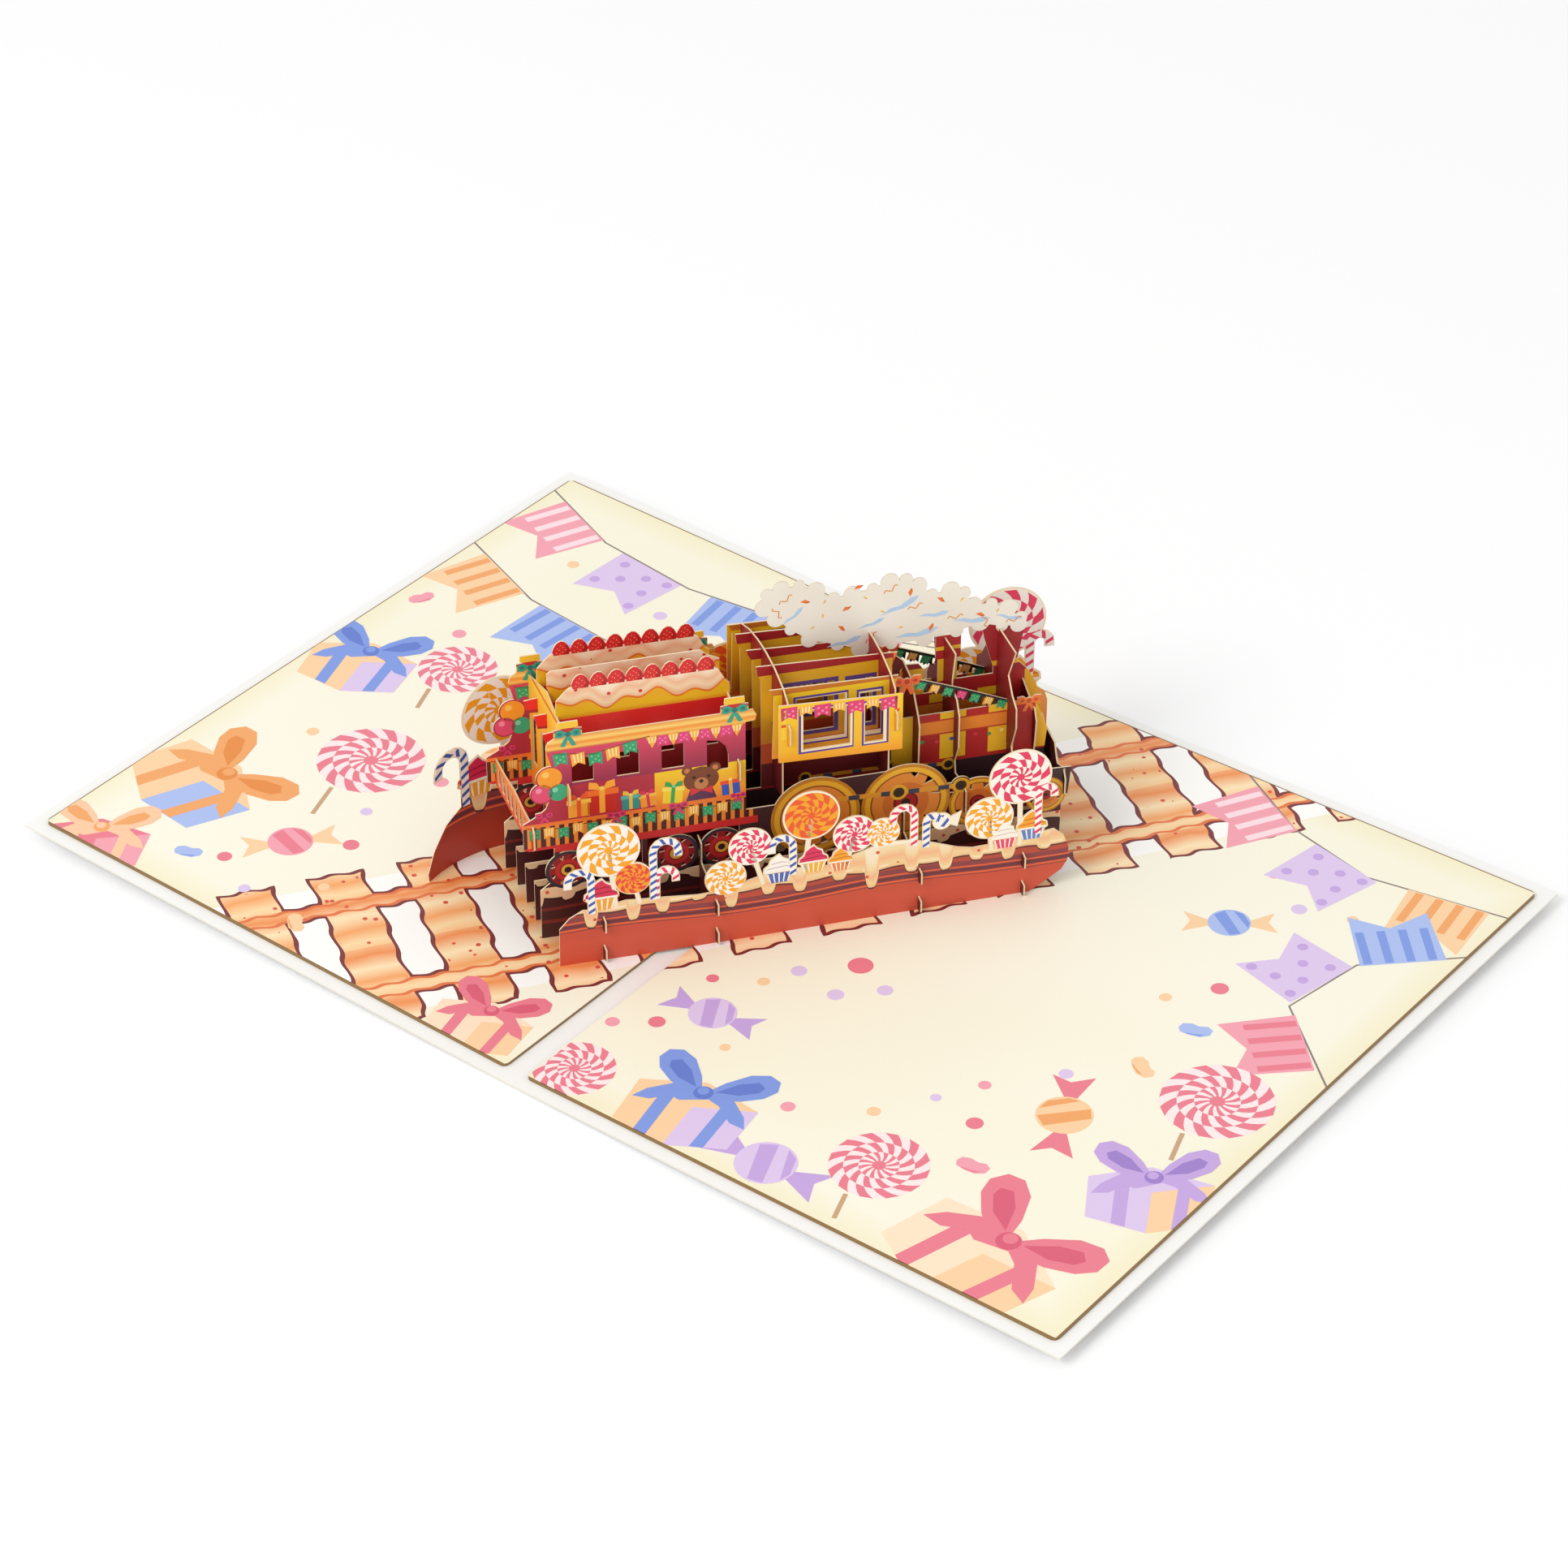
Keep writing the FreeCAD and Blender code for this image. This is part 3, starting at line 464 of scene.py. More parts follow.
# Cross ribs: dark red card for the boiler, cab and base, golden yellow for the
# wagon ends, and an orange balcony rail. They slot through the long sheets.


def rib_print(name, low, high, bottom, top, line=None):
    paint = Paint(name, bottom)
    paint.over(paint.ramp(paint.z, low, high, [(low, bottom), (high, top)]), 1.0)
    if line:
        paint.over(line[2], paint.z.inside(line[0], line[1]))
    paint.mottle("3A0E10", 80.0, 0.15)
    facing = (paint.nx * math.sin(CROSS_ANGLE) - paint.ny * math.cos(CROSS_ANGLE)).size()
    paint.over("E6CFA4", facing < 0.6)
    dress(name, paint.finish())


for number in range(1, 5):
    rib_print("base_rib_%d" % number, 1.0, 24.0, "6A2420", "4A181C")
rib_print("balcony_rail", 26.0, 35.0, "D8401F", "F08428")
rib_print("wagon_rib_1", 26.0, 60.0, "E8821C", "F5C024", (56.5, 57.4, "C8641E"))
rib_print("wagon_rib_2", 26.0, 60.0, "8E1E20", "F0B020", (50.0, 51.0, "5A1416"))
for number in range(1, 3):
    rib_print("cab_rib_%d" % number, 31.0, 64.0, "5A1418", "A01C22", (48.0, 56.0, "E8A01E"))
for number in range(1, 5):
    rib_print("boiler_rib_%d" % number, 20.0, 60.0, "4A1216", "9A1C1E")
rib_print("nose_rib", 14.0, 35.0, "2E141A", "5A1A1C")

# Printed sweets on both platform walls: lollipops, canes and cupcakes, each a
# thin colour plate on the cream card with its pale border left showing.
inks = {}


def ink(code):
    if code not in inks:
        inks[code] = Paint("ink_" + code, code, 0.42).finish()
    return inks[code]


class Print:
    """Flat coloured shapes on the face of a sheet, each a closed thin plate."""

    def __init__(self):
        self.shapes = []
        self.at(0.0, 0.0)

    def at(self, u, z, turn=0.0, size=1.0, level=0):
        self.u = u
        self.z = z
        self.cos = math.cos(turn) * size
        self.sin = math.sin(turn) * size
        self.level = level
        return self

    def poly(self, code, points, same=False):
        if not same:
            self.level += 1
        moved = []
        for a, b in points:
            moved.append((self.u + a * self.cos - b * self.sin, self.z + a * self.sin + b * self.cos))
        self.shapes.append((code, moved, self.level))

    def trim(self, low_u, high_u, low_z, high_z):
        """Cuts every shape off at a rectangle, as a printed page is cut."""
        kept = []
        for code, points, level in self.shapes:
            for axis, limit, way in ((0, low_u, 1), (0, high_u, -1), (1, low_z, 1), (1, high_z, -1)):
                cut = []
                for a, b in zip(points, points[1:] + points[:1]):
                    inside_a = way * (a[axis] - limit) >= 0
                    inside_b = way * (b[axis] - limit) >= 0
                    if inside_a:
                        cut.append(a)
                    if inside_a != inside_b:
                        share = (limit - a[axis]) / (b[axis] - a[axis])
                        cut.append((a[0] + share * (b[0] - a[0]), a[1] + share * (b[1] - a[1])))
                points = cut
            if len(points) > 2:
                kept.append((code, points, level))
        self.shapes = kept

    def disc(self, code, a, b, radius, sides=28, same=False):
        turn = 2 * math.pi / sides
        self.poly(code, [(a + radius * math.cos(turn * k),
                          b + radius * math.sin(turn * k)) for k in range(sides)], same)

    def line(self, code, points, width, same=False):
        left = []
        right = []
        for i, (a, b) in enumerate(points):
            before = points[max(i - 1, 0)]
            after = points[min(i + 1, len(points) - 1)]
            da = after[0] - before[0]
            db = after[1] - before[1]
            size = math.hypot(da, db)
            left.append((a - db / size * width / 2, b + da / size * width / 2))
            right.append((a + db / size * width / 2, b - da / size * width / 2))
        self.poly(code, left + right[::-1], same)

    def build(self, name, slot, to_world, cuts=(), base=-0.02, step=0.006):
        codes = sorted({code for code, points, level in self.shapes})
        bm = bmesh.new()
        for code, points, level in self.shapes:
            corners = [bm.verts.new((u, base, z)) for u, z in points]
            face = bm.faces.new(corners)
            face.material_index = codes.index(code)
            lifted = bmesh.ops.extrude_face_region(bm, geom=[face], use_keep_orig=True)["geom"]
            rise = 0.012 + step * level - base
            raised = [item for item in lifted if isinstance(item, bmesh.types.BMVert)]
            bmesh.ops.translate(bm, vec=(0, rise, 0), verts=raised)
        for cut in cuts:
            geometry = bm.verts[:] + bm.edges[:] + bm.faces[:]
            bmesh.ops.bisect_plane(bm, geom=geometry, plane_co=(cut, 0, 0), plane_no=(1, 0, 0))
        for vert in bm.verts:
            vert.co = to_world(vert.co.x, vert.co.y, vert.co.z)
        bmesh.ops.recalc_face_normals(bm, faces=bm.faces[:])
        mesh = bpy.data.meshes.new(name)
        bm.to_mesh(mesh)
        bm.free()
        for code in codes:
            mesh.materials.append(ink(code))
        piece = bpy.data.objects.new(name, mesh)
        bpy.context.scene.collection.objects.link(piece)
        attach(piece, "root")
        return piece


def face_of(offset, side, proud=0.0):
    """Places a print on the front (-1) or back (1) face of a long sheet."""
    def to_world(u, lift, z):
        return (LONG * u + ACROSS * offset + BACK * side * (T / 2 + proud + lift) + Vector((0, 0, z))) * MM
    return to_world


def curled_face(offset, side, start, radius):
    """The same for the rear wall, whose left end bends round a cylinder."""
    def to_world(u, lift, z):
        out = side * (T / 2 + lift)
        if u < start:
            run = u - start
            depth = math.sqrt(radius * radius - run * run)
            u += out * run / radius
            out = depth - radius + out * depth / radius
        return (LONG * u + ACROSS * offset + BACK * out + Vector((0, 0, z))) * MM
    return to_world


def swirl(art, dark, pale, arms=9, rings=3):
    """A lollipop of radius 1: rings of curved checks that spiral outwards."""
    art.disc(pale, 0, 0, 0.94, 36)
    art.level += 1
    for ring in range(rings):
        inner = 0.10 + 0.84 * ring / rings
        outer = 0.10 + 0.84 * (ring + 1) / rings
        for k in range(arms):
            start = 2 * math.pi * (k + 0.5 * (ring % 2)) / arms
            points = []
            for s in range(4):
                reach = inner + (outer - inner) * s / 3
                points.append((reach, start + 1.1 * reach))
            for s in range(4):
                reach = outer - (outer - inner) * s / 3
                points.append((reach, start + 1.1 * reach + math.pi / arms))
            art.poly(dark, [(r * math.cos(a), r * math.sin(a)) for r, a in points], True)
    art.disc(dark, 0, 0, 0.13, 16)


def candy_cane(art, u, z, height, radius, side, dark):
    path = [(u, z + 0.5), (u, z + height - radius)]
    for step in range(1, 8):
        angle = math.pi * step / 7
        path.append((u + side * radius * (1 - math.cos(angle)),
                     z + height - radius + radius * math.sin(angle)))
    path.append((u + side * 2 * radius, z + height - 1.45 * radius))
    art.line("FBF6EE", path, 1.5)
    art.level += 1
    walked = 0.9
    for (a0, b0), (a1, b1) in zip(path, path[1:]):
        size = math.hypot(a1 - a0, b1 - b0)
        while walked < size - 0.25:
            da = (a1 - a0) / size
            db = (b1 - b0) / size
            a = a0 + da * walked
            b = b0 + db * walked
            half = 0.75
            slant = 0.45
            wide = 0.42
            corners = []
            for along_by, aside_by in ((-wide - slant, half), (wide - slant, half), (wide + slant, -half),
                                       (-wide + slant, -half)):
                corners.append((a + da * along_by - db * aside_by, b + db * along_by + da * aside_by))
            art.poly(dark, corners, True)
            walked += 2.0
        walked -= size


def cupcake(art, u, z, width, cup, top, dark):
    half = width / 2
    art.at(u, z, 0.0, half)
    art.poly(cup, [(-0.55, 0.08), (0.55, 0.08), (0.76, 0.80), (-0.76, 0.80)])
    art.level += 1
    for k in range(5):
        a = -0.52 + 0.26 * k
        art.poly("FBF3E4", [(a - 0.03, 0.1), (a + 0.04, 0.1), (a * 1.36 + 0.05, 0.78),
                            (a * 1.36 - 0.05, 0.78)], True)
    art.poly("FBF3E4", [(-0.86, 0.84), (0.86, 0.84), (0.9, 1.0), (-0.9, 1.0)])
    art.poly(top, [(-0.9, 0.96), (0.9, 0.96), (0.86, 1.18), (0.58, 1.38), (0.52, 1.66), (0.24, 1.82),
                   (0.05, 2.08), (-0.16, 1.98), (-0.48, 1.72), (-0.58, 1.38), (-0.86, 1.18)])
    art.poly(dark, [(-0.8, 1.1), (0.4, 1.22), (0.84, 1.12), (0.8, 1.2), (0.4, 1.32), (-0.7, 1.2)])
    art.poly(dark, [(-0.5, 1.46), (0.2, 1.54), (0.5, 1.48), (0.46, 1.56), (0.2, 1.64), (-0.44, 1.55)], True)


YELLOW = "F7A81E"
PINK = "E5375F"
RED = "E8462A"
BLUE = "3F5FAE"
WHITE = "FCF6EC"


def sweets(first_cane, first_cupcake, tall_lolly, last_cupcake):
    art = Print()
    sticks = [(-49.4, 32.2, -48.0, 16.0), (-43.9, 23.3, -42.5, 16.0), (-16.6, 27.2, -13.6, 16.0),
              tall_lolly[:2] + tall_lolly[3:], (7.9, 26.3, 6.0, 18.0), (39.9, 25.0, 40.6, 16.0),
              (47.1, 35.4, 47.4, 16.0)]
    for u, z, foot_u, foot_z in sticks:
        art.at(0, 0)
        art.line("F6E9CF", [(foot_u, foot_z), (u, z)], 0.9)
    lollies = [(-49.4, 32.2, 7.3, YELLOW, WHITE, 0), (-43.9, 23.3, 4.4, RED, "F6A02C", 4),
               (-22.4, 19.3, 4.9, YELLOW, WHITE, 0), (-16.6, 27.2, 5.1, PINK, WHITE, 0),
               tall_lolly[:3] + ("EA5A22", "F5A51E", 0), (7.9, 26.3, 5.1, PINK, WHITE, 0),
               (14.6, 25.5, 4.0, YELLOW, WHITE, 4), (39.9, 25.0, 5.8, YELLOW, WHITE, 0),
               (47.1, 35.4, 7.5, PINK, WHITE, 8)]
    for u, z, radius, dark, pale, level in lollies:
        art.at(u, z, u, radius, level)
        swirl(art, dark, pale)
    canes = [first_cane + (2.7, -1, BLUE), (-39.2, 16.0, 16.4, 2.9, 1, BLUE),
             (-38.6, 16.0, 8.4, 2.3, 1, PINK), (-6.6, 17.0, 11.2, 2.5, -1, BLUE),
             (22.0, 20.0, 11.6, 2.5, -1, PINK), (24.9, 19.0, 9.0, 1.6, 1, BLUE),
             (51.6, 18.0, 13.6, 1.9, 1, PINK)]
    for number, (u, z, height, radius, side, dark) in enumerate(canes):
        art.at(0, 0, 0.0, 1.0, 12 + 3 * (number % 2))
        candy_cane(art, u, z, height, radius, side, dark)
    cupcake(art, *first_cupcake, 8.4, "F0A42C", "D8264E", "A8183C")
    cupcake(art, -9.9, 15.6, 7.6, "4A66B4", WHITE, "D9C8CE")
    cupcake(art, -1.8, 17.0, 7.4, "F2B42C", "DE2C5C", "B01C48")
    cupcake(art, 4.6, 16.4, 6.2, "E8863C", "F5A62C", "D87A1C")
    cupcake(art, 43.8, 15.6, 7.0, "E5486A", WHITE, "E8CFC4")
    cupcake(art, *last_cupcake, "5C80C8", "F5A41E", "D8741C")
    art.at(28.6, 26.2, 0.3, 2.1)
    art.disc(WHITE, 0, 0, 0.9, 20)
    art.poly(BLUE, [(-0.7, 0.3), (0.0, 0.85), (0.5, 0.7), (-0.5, -0.1)])
    art.poly(BLUE, [(-0.4, -0.6), (0.7, 0.2), (0.8, -0.2), (0.0, -0.8)], True)
    return art


front_sweets = sweets((-53.6, 14.5, 12.6), (-51.3, 15.4), (-2.3, 33.4, 6.7, -3.8, 18.0), (50.2, 17.0, 7.8))
for side, word in ((-1, "outer"), (1, "inner")):
    front_sweets.build("front_wall_sweets_" + word, "platform_paper", face_of(FRONT_WALL_Y, side))
rear_sweets = sweets((-56.6, 13.0, 13.4), (-54.0, 14.4), (-6.2, 32.6, 7.2, -5.0, 16.0), (49.6, 17.6, 9.0))
rear_sweets.shapes = [(code, [(u * REAR_SCALE + REAR_SHIFT, z * REAR_SCALE) for u, z in points], level)
                      for code, points, level in rear_sweets.shapes]
CURL_START = -55.0
CURL_RADIUS = 34.0
curl_cuts = [CURL_START - 1.5 * k for k in range(17)]
for side, word in ((-1, "inner"), (1, "outer")):
    rear_sweets.build("rear_wall_sweets_" + word, "platform_paper",
                      curled_face(REAR_WALL_Y, side, CURL_START, CURL_RADIUS), curl_cuts)

# Wagon decorations: bunting, balloons, presents, a teddy and bows, printed on
# the outer face of each train side, with the rods of the driving wheels.
GREEN = "2FA06A"
PALE_GREEN = "7CCB8E"
AMBER = "F5B03A"


def flag(art, code, spot, width=2.6, drop=3.2, pointed=False):
    """A pennant that hangs from the origin, with stripes or spots."""
    w = width / 2
    tip = [(w * 0.94, -drop), (0, -drop * 0.74), (-w * 0.94, -drop)]
    art.poly(code, [(-w, 0), (w, 0)] + ([(0, -drop)] if pointed else tip))
    art.level += 1
    if spot == "stripe":
        for k in (-0.55, 0.0, 0.55):
            low = -drop * (0.55 if pointed else 0.72)
            art.poly("FBE3A8", [(w * k - 0.11 * w, -0.2), (w * k + 0.11 * w, -0.2),
                                (w * k * 0.8 + 0.1 * w, low), (w * k * 0.8 - 0.1 * w, low)], True)
    else:
        for a, b in ((-0.5, -0.25), (0.45, -0.3), (0.0, -0.5), (-0.45, -0.7), (0.5, -0.68)):
            if not pointed or abs(b) < 0.4:
                art.disc(spot, a * w, b * drop, 0.16 * w, 10, True)


def knot(art, code, shade):
    """A bow with two loops and two tails."""
    art.poly(code, [(0, 0), (0.35, -0.5), (0.62, -1.05), (0.28, -1.12), (0.0, -0.5), (-0.28, -1.12),
                    (-0.62, -1.05), (-0.35, -0.5)])
    art.level += 1
    for way in (-1, 1):
        art.poly(code, [(0, 0), (way * 0.45, 0.42), (way * 0.95, 0.36), (way * 1.0, -0.2),
                        (way * 0.55, -0.28)], True)
    art.level += 1
    for way in (-1, 1):
        art.poly(shade, [(way * 0.4, 0.06), (way * 0.6, 0.24), (way * 0.8, 0.18), (way * 0.8, -0.06),
                         (way * 0.6, -0.1)], True)
    art.disc(shade, 0, 0, 0.22, 14)


def parcel(art, box, lid, ribbon, shade):
    """A present one unit wide, standing on the origin."""
    art.poly(box, [(-0.46, 0), (0.46, 0), (0.46, 0.72), (-0.46, 0.72)])
    art.poly(lid, [(-0.52, 0.66), (0.52, 0.66), (0.52, 0.88), (-0.52, 0.88)])
    art.poly(ribbon, [(-0.09, 0), (0.09, 0), (0.09, 0.88), (-0.09, 0.88)])
    for way in (-1, 1):
        art.poly(ribbon, [(0, 0.86), (way * 0.16, 1.14), (way * 0.4, 1.2), (way * 0.42, 0.94)], True)
    art.disc(shade, 0, 0.92, 0.08, 12)


def bear(art):
    """A sitting teddy with a big head, one unit wide across its ears."""
    brown = "7A3E22"
    art.poly("5A3050", [(-0.42, 0.0), (0.42, 0.0), (0.3, 0.36), (-0.3, 0.36)])
    for way in (-1, 1):
        art.disc(brown, way * 0.38, 0.98, 0.15, 18, way > 0)
    art.level += 1
    for way in (-1, 1):
        art.disc("C87A48", way * 0.38, 0.98, 0.08, 14, way > 0)
    turns = [k / 10 * math.pi for k in range(20)]
    art.poly(brown, [(0.48 * math.cos(a), 0.66 + 0.4 * math.sin(a)) for a in turns])
    art.disc("C07C4A", 0, 0.52, 0.19, 20)
    art.disc("2A1612", 0, 0.6, 0.06, 12)
    for way in (-1, 1):
        art.disc("2A1612", way * 0.2, 0.74, 0.05, 12, way > 0)
    art.level += 1
    for way in (-1, 1):
        art.poly("D8323A", [(0, 0.3), (way * 0.3, 0.42), (way * 0.3, 0.16)], way > 0)


def train_art():
    art = Print()
    art.at(0, 0)
    art.line("8A4A20", [(-58.4, 53.0), (-49.0, 51.4), (-40.0, 53.4), (-36.0, 54.0)], 0.25)
    flags = [(-56.6, 52.8, GREEN, PALE_GREEN), (-52.6, 52.2, AMBER, "stripe"),
             (-48.6, 51.7, GREEN, PALE_GREEN), (-44.6, 52.4, AMBER, "stripe"),
             (-40.6, 53.3, GREEN, PALE_GREEN)]
    for u, z, code, spot in flags:
        art.at(u, z, 0.08)
        flag(art, code, spot, 3.2, 3.5)
    for k in range(5):
        art.at(-35.4 + 4.9 * k, 53.8)
        flag(art, AMBER, "stripe", 2.9, 3.2, True)
    for k in range(4):
        art.at(-33.0 + 4.9 * k, 53.8)
        flag(art, "E0407A", "F090B0", 2.7, 3.0)
    rail = [(-64.6, 33.2), (-56.0, 32.0), (-47.0, 33.0), (-38.0, 31.8), (-30.0, 33.0), (-22.0, 31.8),
            (-14.6, 33.2)]
    art.at(0, 0)
    art.line("8A3A1A", rail, 0.25)
    for k in range(15):
        share = k / 14
        u = -63.0 + 47.0 * share
        art.at(u, 32.9 - 0.7 * math.sin(u * 0.36) ** 2, 0.0, 1.0, 2)
        if k % 2:
            flag(art, AMBER, "stripe", 2.5, 3.0)
        else:
            flag(art, GREEN, PALE_GREEN, 2.5, 3.0)
    for u, z, size, code, shade in ((-59.1, 46.4, 3.0, "F59A24", "FBC45A"),
                                    (-60.9, 42.4, 2.6, "E0486E", "F08AA0"),
                                    (-57.2, 42.2, 2.4, "3AA87A", "7FD0A8")):
        art.at(u, z, 0.0, size)
        art.disc(code, 0, 0, 0.95)
        art.disc(shade, -0.3, 0.35, 0.28, 14)
    art.at(-47.2, 34.8, 0.0, 7.4)
    parcel(art, "C8281E", "F0702A", "F8A83A", "F5D05A")
    art.at(-52.6, 34.6, 0.0, 5.4)
    parcel(art, "F0A030", "F5C04A", "E85A2A", "F8D070")
    art.at(-40.6, 34.6, 0.0, 4.4)
    parcel(art, "2F8F8A", "55B8A8", "F0C040", "F8E080")
    art.at(-36.4, 34.6, 0.1, 4.0)
    parcel(art, "F09A2A", "F7BC4C", "D8304A", "F27A8A")
    art.at(-31.0, 34.6, -0.08, 5.0)
    parcel(art, "F3CE2A", "F8DE5A", "3AA050", "7CCB8E")
    art.at(-24.2, 34.4, 0.0, 8.6)
    bear(art)
    art.at(-17.2, 34.6, 0.06, 4.6)
    parcel(art, "3A58B8", "E8503A", "F5B030", "FBE08A")
    for u, z, size in ((-54.6, 57.8, 3.0), (-16.3, 57.8, 3.0)):
        art.at(u, z, 0.0, size, 8)
        knot(art, "2E9E84", "1E7468")
    for u, z, size in ((-60.6, 36.2, 1.9), (-44.0, 33.6, 2.2), (-29.6, 33.6, 2.2), (-15.6, 34.0, 1.8)):
        art.at(u, z, 0.0, size, 8)
        knot(art, "D83A6A", "A82450")
    rod = [(7.6, 28.6), (37.3, 27.4)]
    art.at(0, 0, 0.0, 1.0, 1)
    art.line("E8A030", rod, 1.3)
    art.level += 1
    for share in (0.14, 0.4, 0.62, 0.86):
        u = rod[0][0] + share * 29.7
        z = rod[0][1] - share * 1.2
        art.poly("3E4654", [(u - 1.3, z - 0.62), (u + 1.3, z - 0.72), (u + 1.3, z + 0.56),
                            (u - 1.3, z + 0.66)], True)
    for u, z in ((22.4, 28.0), (37.3, 27.4)):
        art.at(u, z, 0.0, 2.2, 4)
        art.disc("E8B02E", 0, 0, 0.96)
        art.disc("4A3020", 0, 0, 0.62)
        art.disc("2E2A22", 0, 0, 0.4)
    return art


side_art = train_art()
for offset, word in ((-SIDE_Y, "front"), (SIDE_Y, "rear")):
    for side, face in ((-1, "front"), (1, "back")):
        side_art.build("%s_side_print_%s" % (word, face), "train_paper", face_of(offset, side))

# Valances of the cab panels: pink and yellow pennants under a gold rail, with a
# gathered curtain at each end, printed on the outer face of each panel.
valance = Print()
for k in range(7):
    valance.at(-4.9 + 3.9 * k, 58.7 - 0.17 * k)
    if k % 2:
        flag(valance, AMBER, "stripe", 3.0, 2.6)
    else:
        flag(valance, "DE3A6C", "F090B0", 3.9, 3.6)
for foot in (-6.3, 20.2):
    valance.at(foot, 47.0)
    valance.poly("F6CE3A", [(-0.5, 11.4), (0.9, 11.4), (0.5, 7.0), (0.8, 3.0), (-0.4, 3.0), (-0.2, 7.0)])
    valance.poly("D8541E", [(-0.4, 6.4), (0.6, 6.4), (0.7, 7.2), (-0.4, 7.2)])
for side, word in ((-1, "front"), (1, "rear")):
    valance.build("%s_cab_valance" % word, "train_paper", face_of(side * CAB_PANEL_Y, side))

# Cloud print: pale blue wisps and curls of gold and orange paper ribbon on the
# front face of the cloud, with nothing written on it.
wisps = Print()
for u, z, turn, size in ((14.0, 62.4, 0.1, 3.4), (31.0, 62.0, 0.0, 4.2), (44.0, 63.6, -0.2, 3.6),
                         (53.0, 63.0, -0.4, 2.8), (27.0, 70.0, 0.3, 4.0), (35.0, 66.6, -0.1, 3.0),
                         (2.0, 71.4, 0.6, 2.6), (20.4, 66.4, 0.2, 2.6)):
    wisps.at(u, z, turn, size)
    wisps.poly("B4CFE8", [(-1.2, -0.1), (-0.5, 0.12), (0.1, 0.04), (0.8, 0.3), (1.3, 0.22), (0.9, -0.08),
                          (0.2, -0.22), (-0.6, -0.12)])
curls = ((0.4, 76.2, 0.6), (5.0, 75.0, -0.4), (9.0, 70.4, 1.4), (-1.6, 73.0, 2.2), (14.6, 71.6, 0.2),
         (19.0, 73.8, -0.8), (25.0, 75.0, 0.5), (29.6, 73.6, 1.2), (23.0, 69.4, -0.5), (30.8, 69.4, 0.3),
         (37.0, 70.4, -0.9), (41.8, 69.6, 0.7), (40.4, 65.0, 0.1), (46.4, 64.8, -0.6), (50.4, 65.2, 0.9),
         (54.4, 62.0, 0.2), (34.6, 63.2, 1.0), (27.4, 64.4, -0.3), (20.6, 62.6, 0.8), (13.6, 66.4, -1.0),
         (6.6, 67.6, 0.4), (47.6, 62.9, 1.8), (17.4, 77.0, 0.1), (9.4, 74.2, 0.9))
for number, (u, z, turn) in enumerate(curls):
    wisps.at(u, z, turn, 1.0 + 0.35 * math.sin(number * 2.1), 2)
    if number % 3:
        code = ("F0A42C", "E8762C", "F6C44A")[number % 3]
        wisps.poly(code, [(-0.9, -0.35), (-0.2, 0.35), (0.9, 0.1), (0.3, -0.35)])
        wisps.poly("C8541E", [(0.2, -0.3), (0.9, 0.1), (0.5, 0.2)])
    else:
        wisps.line("E08A28", [(-1.8, 0.0), (-1.2, 0.55), (-0.6, 0.0), (0.0, -0.5), (0.6, 0.0), (1.2, 0.5),
                              (1.8, 0.1)], 0.26)
wisps.build("cloud_wisps", "cloud_paper", face_of(0.0, -1, T))

# Roof strawberries, the string of pennants and the bows on the inner sheets.
# They are printed on both faces, as the sheets are seen from both sides.
FIRST_BERRY = -49.3
BERRY_PITCH = 4.12
ROOF_Z = 65.3


def inner_art():
    art = Print()
    for k in range(8):
        art.at(FIRST_BERRY + BERRY_PITCH * k, ROOF_Z)
        art.poly("D8242C", [(-1.85, -0.5), (1.85, -0.5), (1.8, 0.9), (1.3, 1.95), (0.6, 2.75),
                            (-0.2, 2.95), (-1.0, 2.45), (-1.6, 1.5), (-1.85, 0.6)])
        art.poly("B0161E", [(0.6, -0.5), (1.85, -0.5), (1.8, 0.9), (1.3, 1.95), (0.9, 2.2), (1.2, 0.9)])
        art.level += 1
        for a, b in ((-1.1, 0.2), (-0.4, 0.9), (0.3, 0.2), (-0.9, 1.3), (0.4, 1.5), (-0.2, 2.1),
                     (1.0, 0.8), (-0.3, -0.2)):
            art.disc("F6B45A", a, b, 0.13, 8, True)
    art.at(0, 0)
    art.line("1E1A1C", [(27.6, 53.4), (29.3, 53.4), (40.0, 49.0), (50.4, 44.3)], 0.5)
    colours = [(GREEN, PALE_GREEN), (AMBER, "stripe"), (GREEN, PALE_GREEN), ("E0407A", "F090B0"),
               (GREEN, PALE_GREEN), (AMBER, "stripe"), (GREEN, PALE_GREEN)]
    for k, (code, spot) in enumerate(colours):
        share = (k + 0.35) / 6.6
        art.at(29.3 + share * 21.3, 53.4 - share * 9.2 + 0.1, -0.38)
        flag(art, code, spot, 2.1, 2.5)
    art.at(26.6, 53.6, 0.0, 3.0, 4)
    knot(art, "EE6A2A", "C8381E")
    art.at(56.0, 43.4, 0.0, 2.6, 4)
    knot(art, "F07A28", "C84A1E")
    rod = [(2.6, 30.9), (22.4, 30.6), (36.9, 28.8)]
    art.at(0, 0, 0.0, 1.0, 1)
    art.line("D8902A", rod, 1.0)
    art.level += 1
    for u, z in ((8.0, 30.8), (15.0, 30.7), (29.0, 29.8), (33.0, 29.3)):
        art.poly("3E4C64", [(u - 1.1, z - 0.5), (u + 1.1, z - 0.6), (u + 1.1, z + 0.4),
                            (u - 1.1, z + 0.5)], True)
    for u, z in rod:
        art.at(u, z, 0.0, 1.7, 4)
        art.disc("D8A028", 0, 0, 0.96)
        art.disc("2A1A18", 0, 0, 0.6)
    art.at(0, 0)
    for u, z, code in ((30.5, 36.0, "3AA050"), (34.0, 35.6, "D8304A"), (37.5, 35.9, "3A58B8"),
                       (43.2, 36.2, "D8304A"), (46.6, 35.7, "3AA050"), (49.6, 36.3, "F8E08A")):
        art.disc(code, u, z, 0.5, 12, True)
    return art


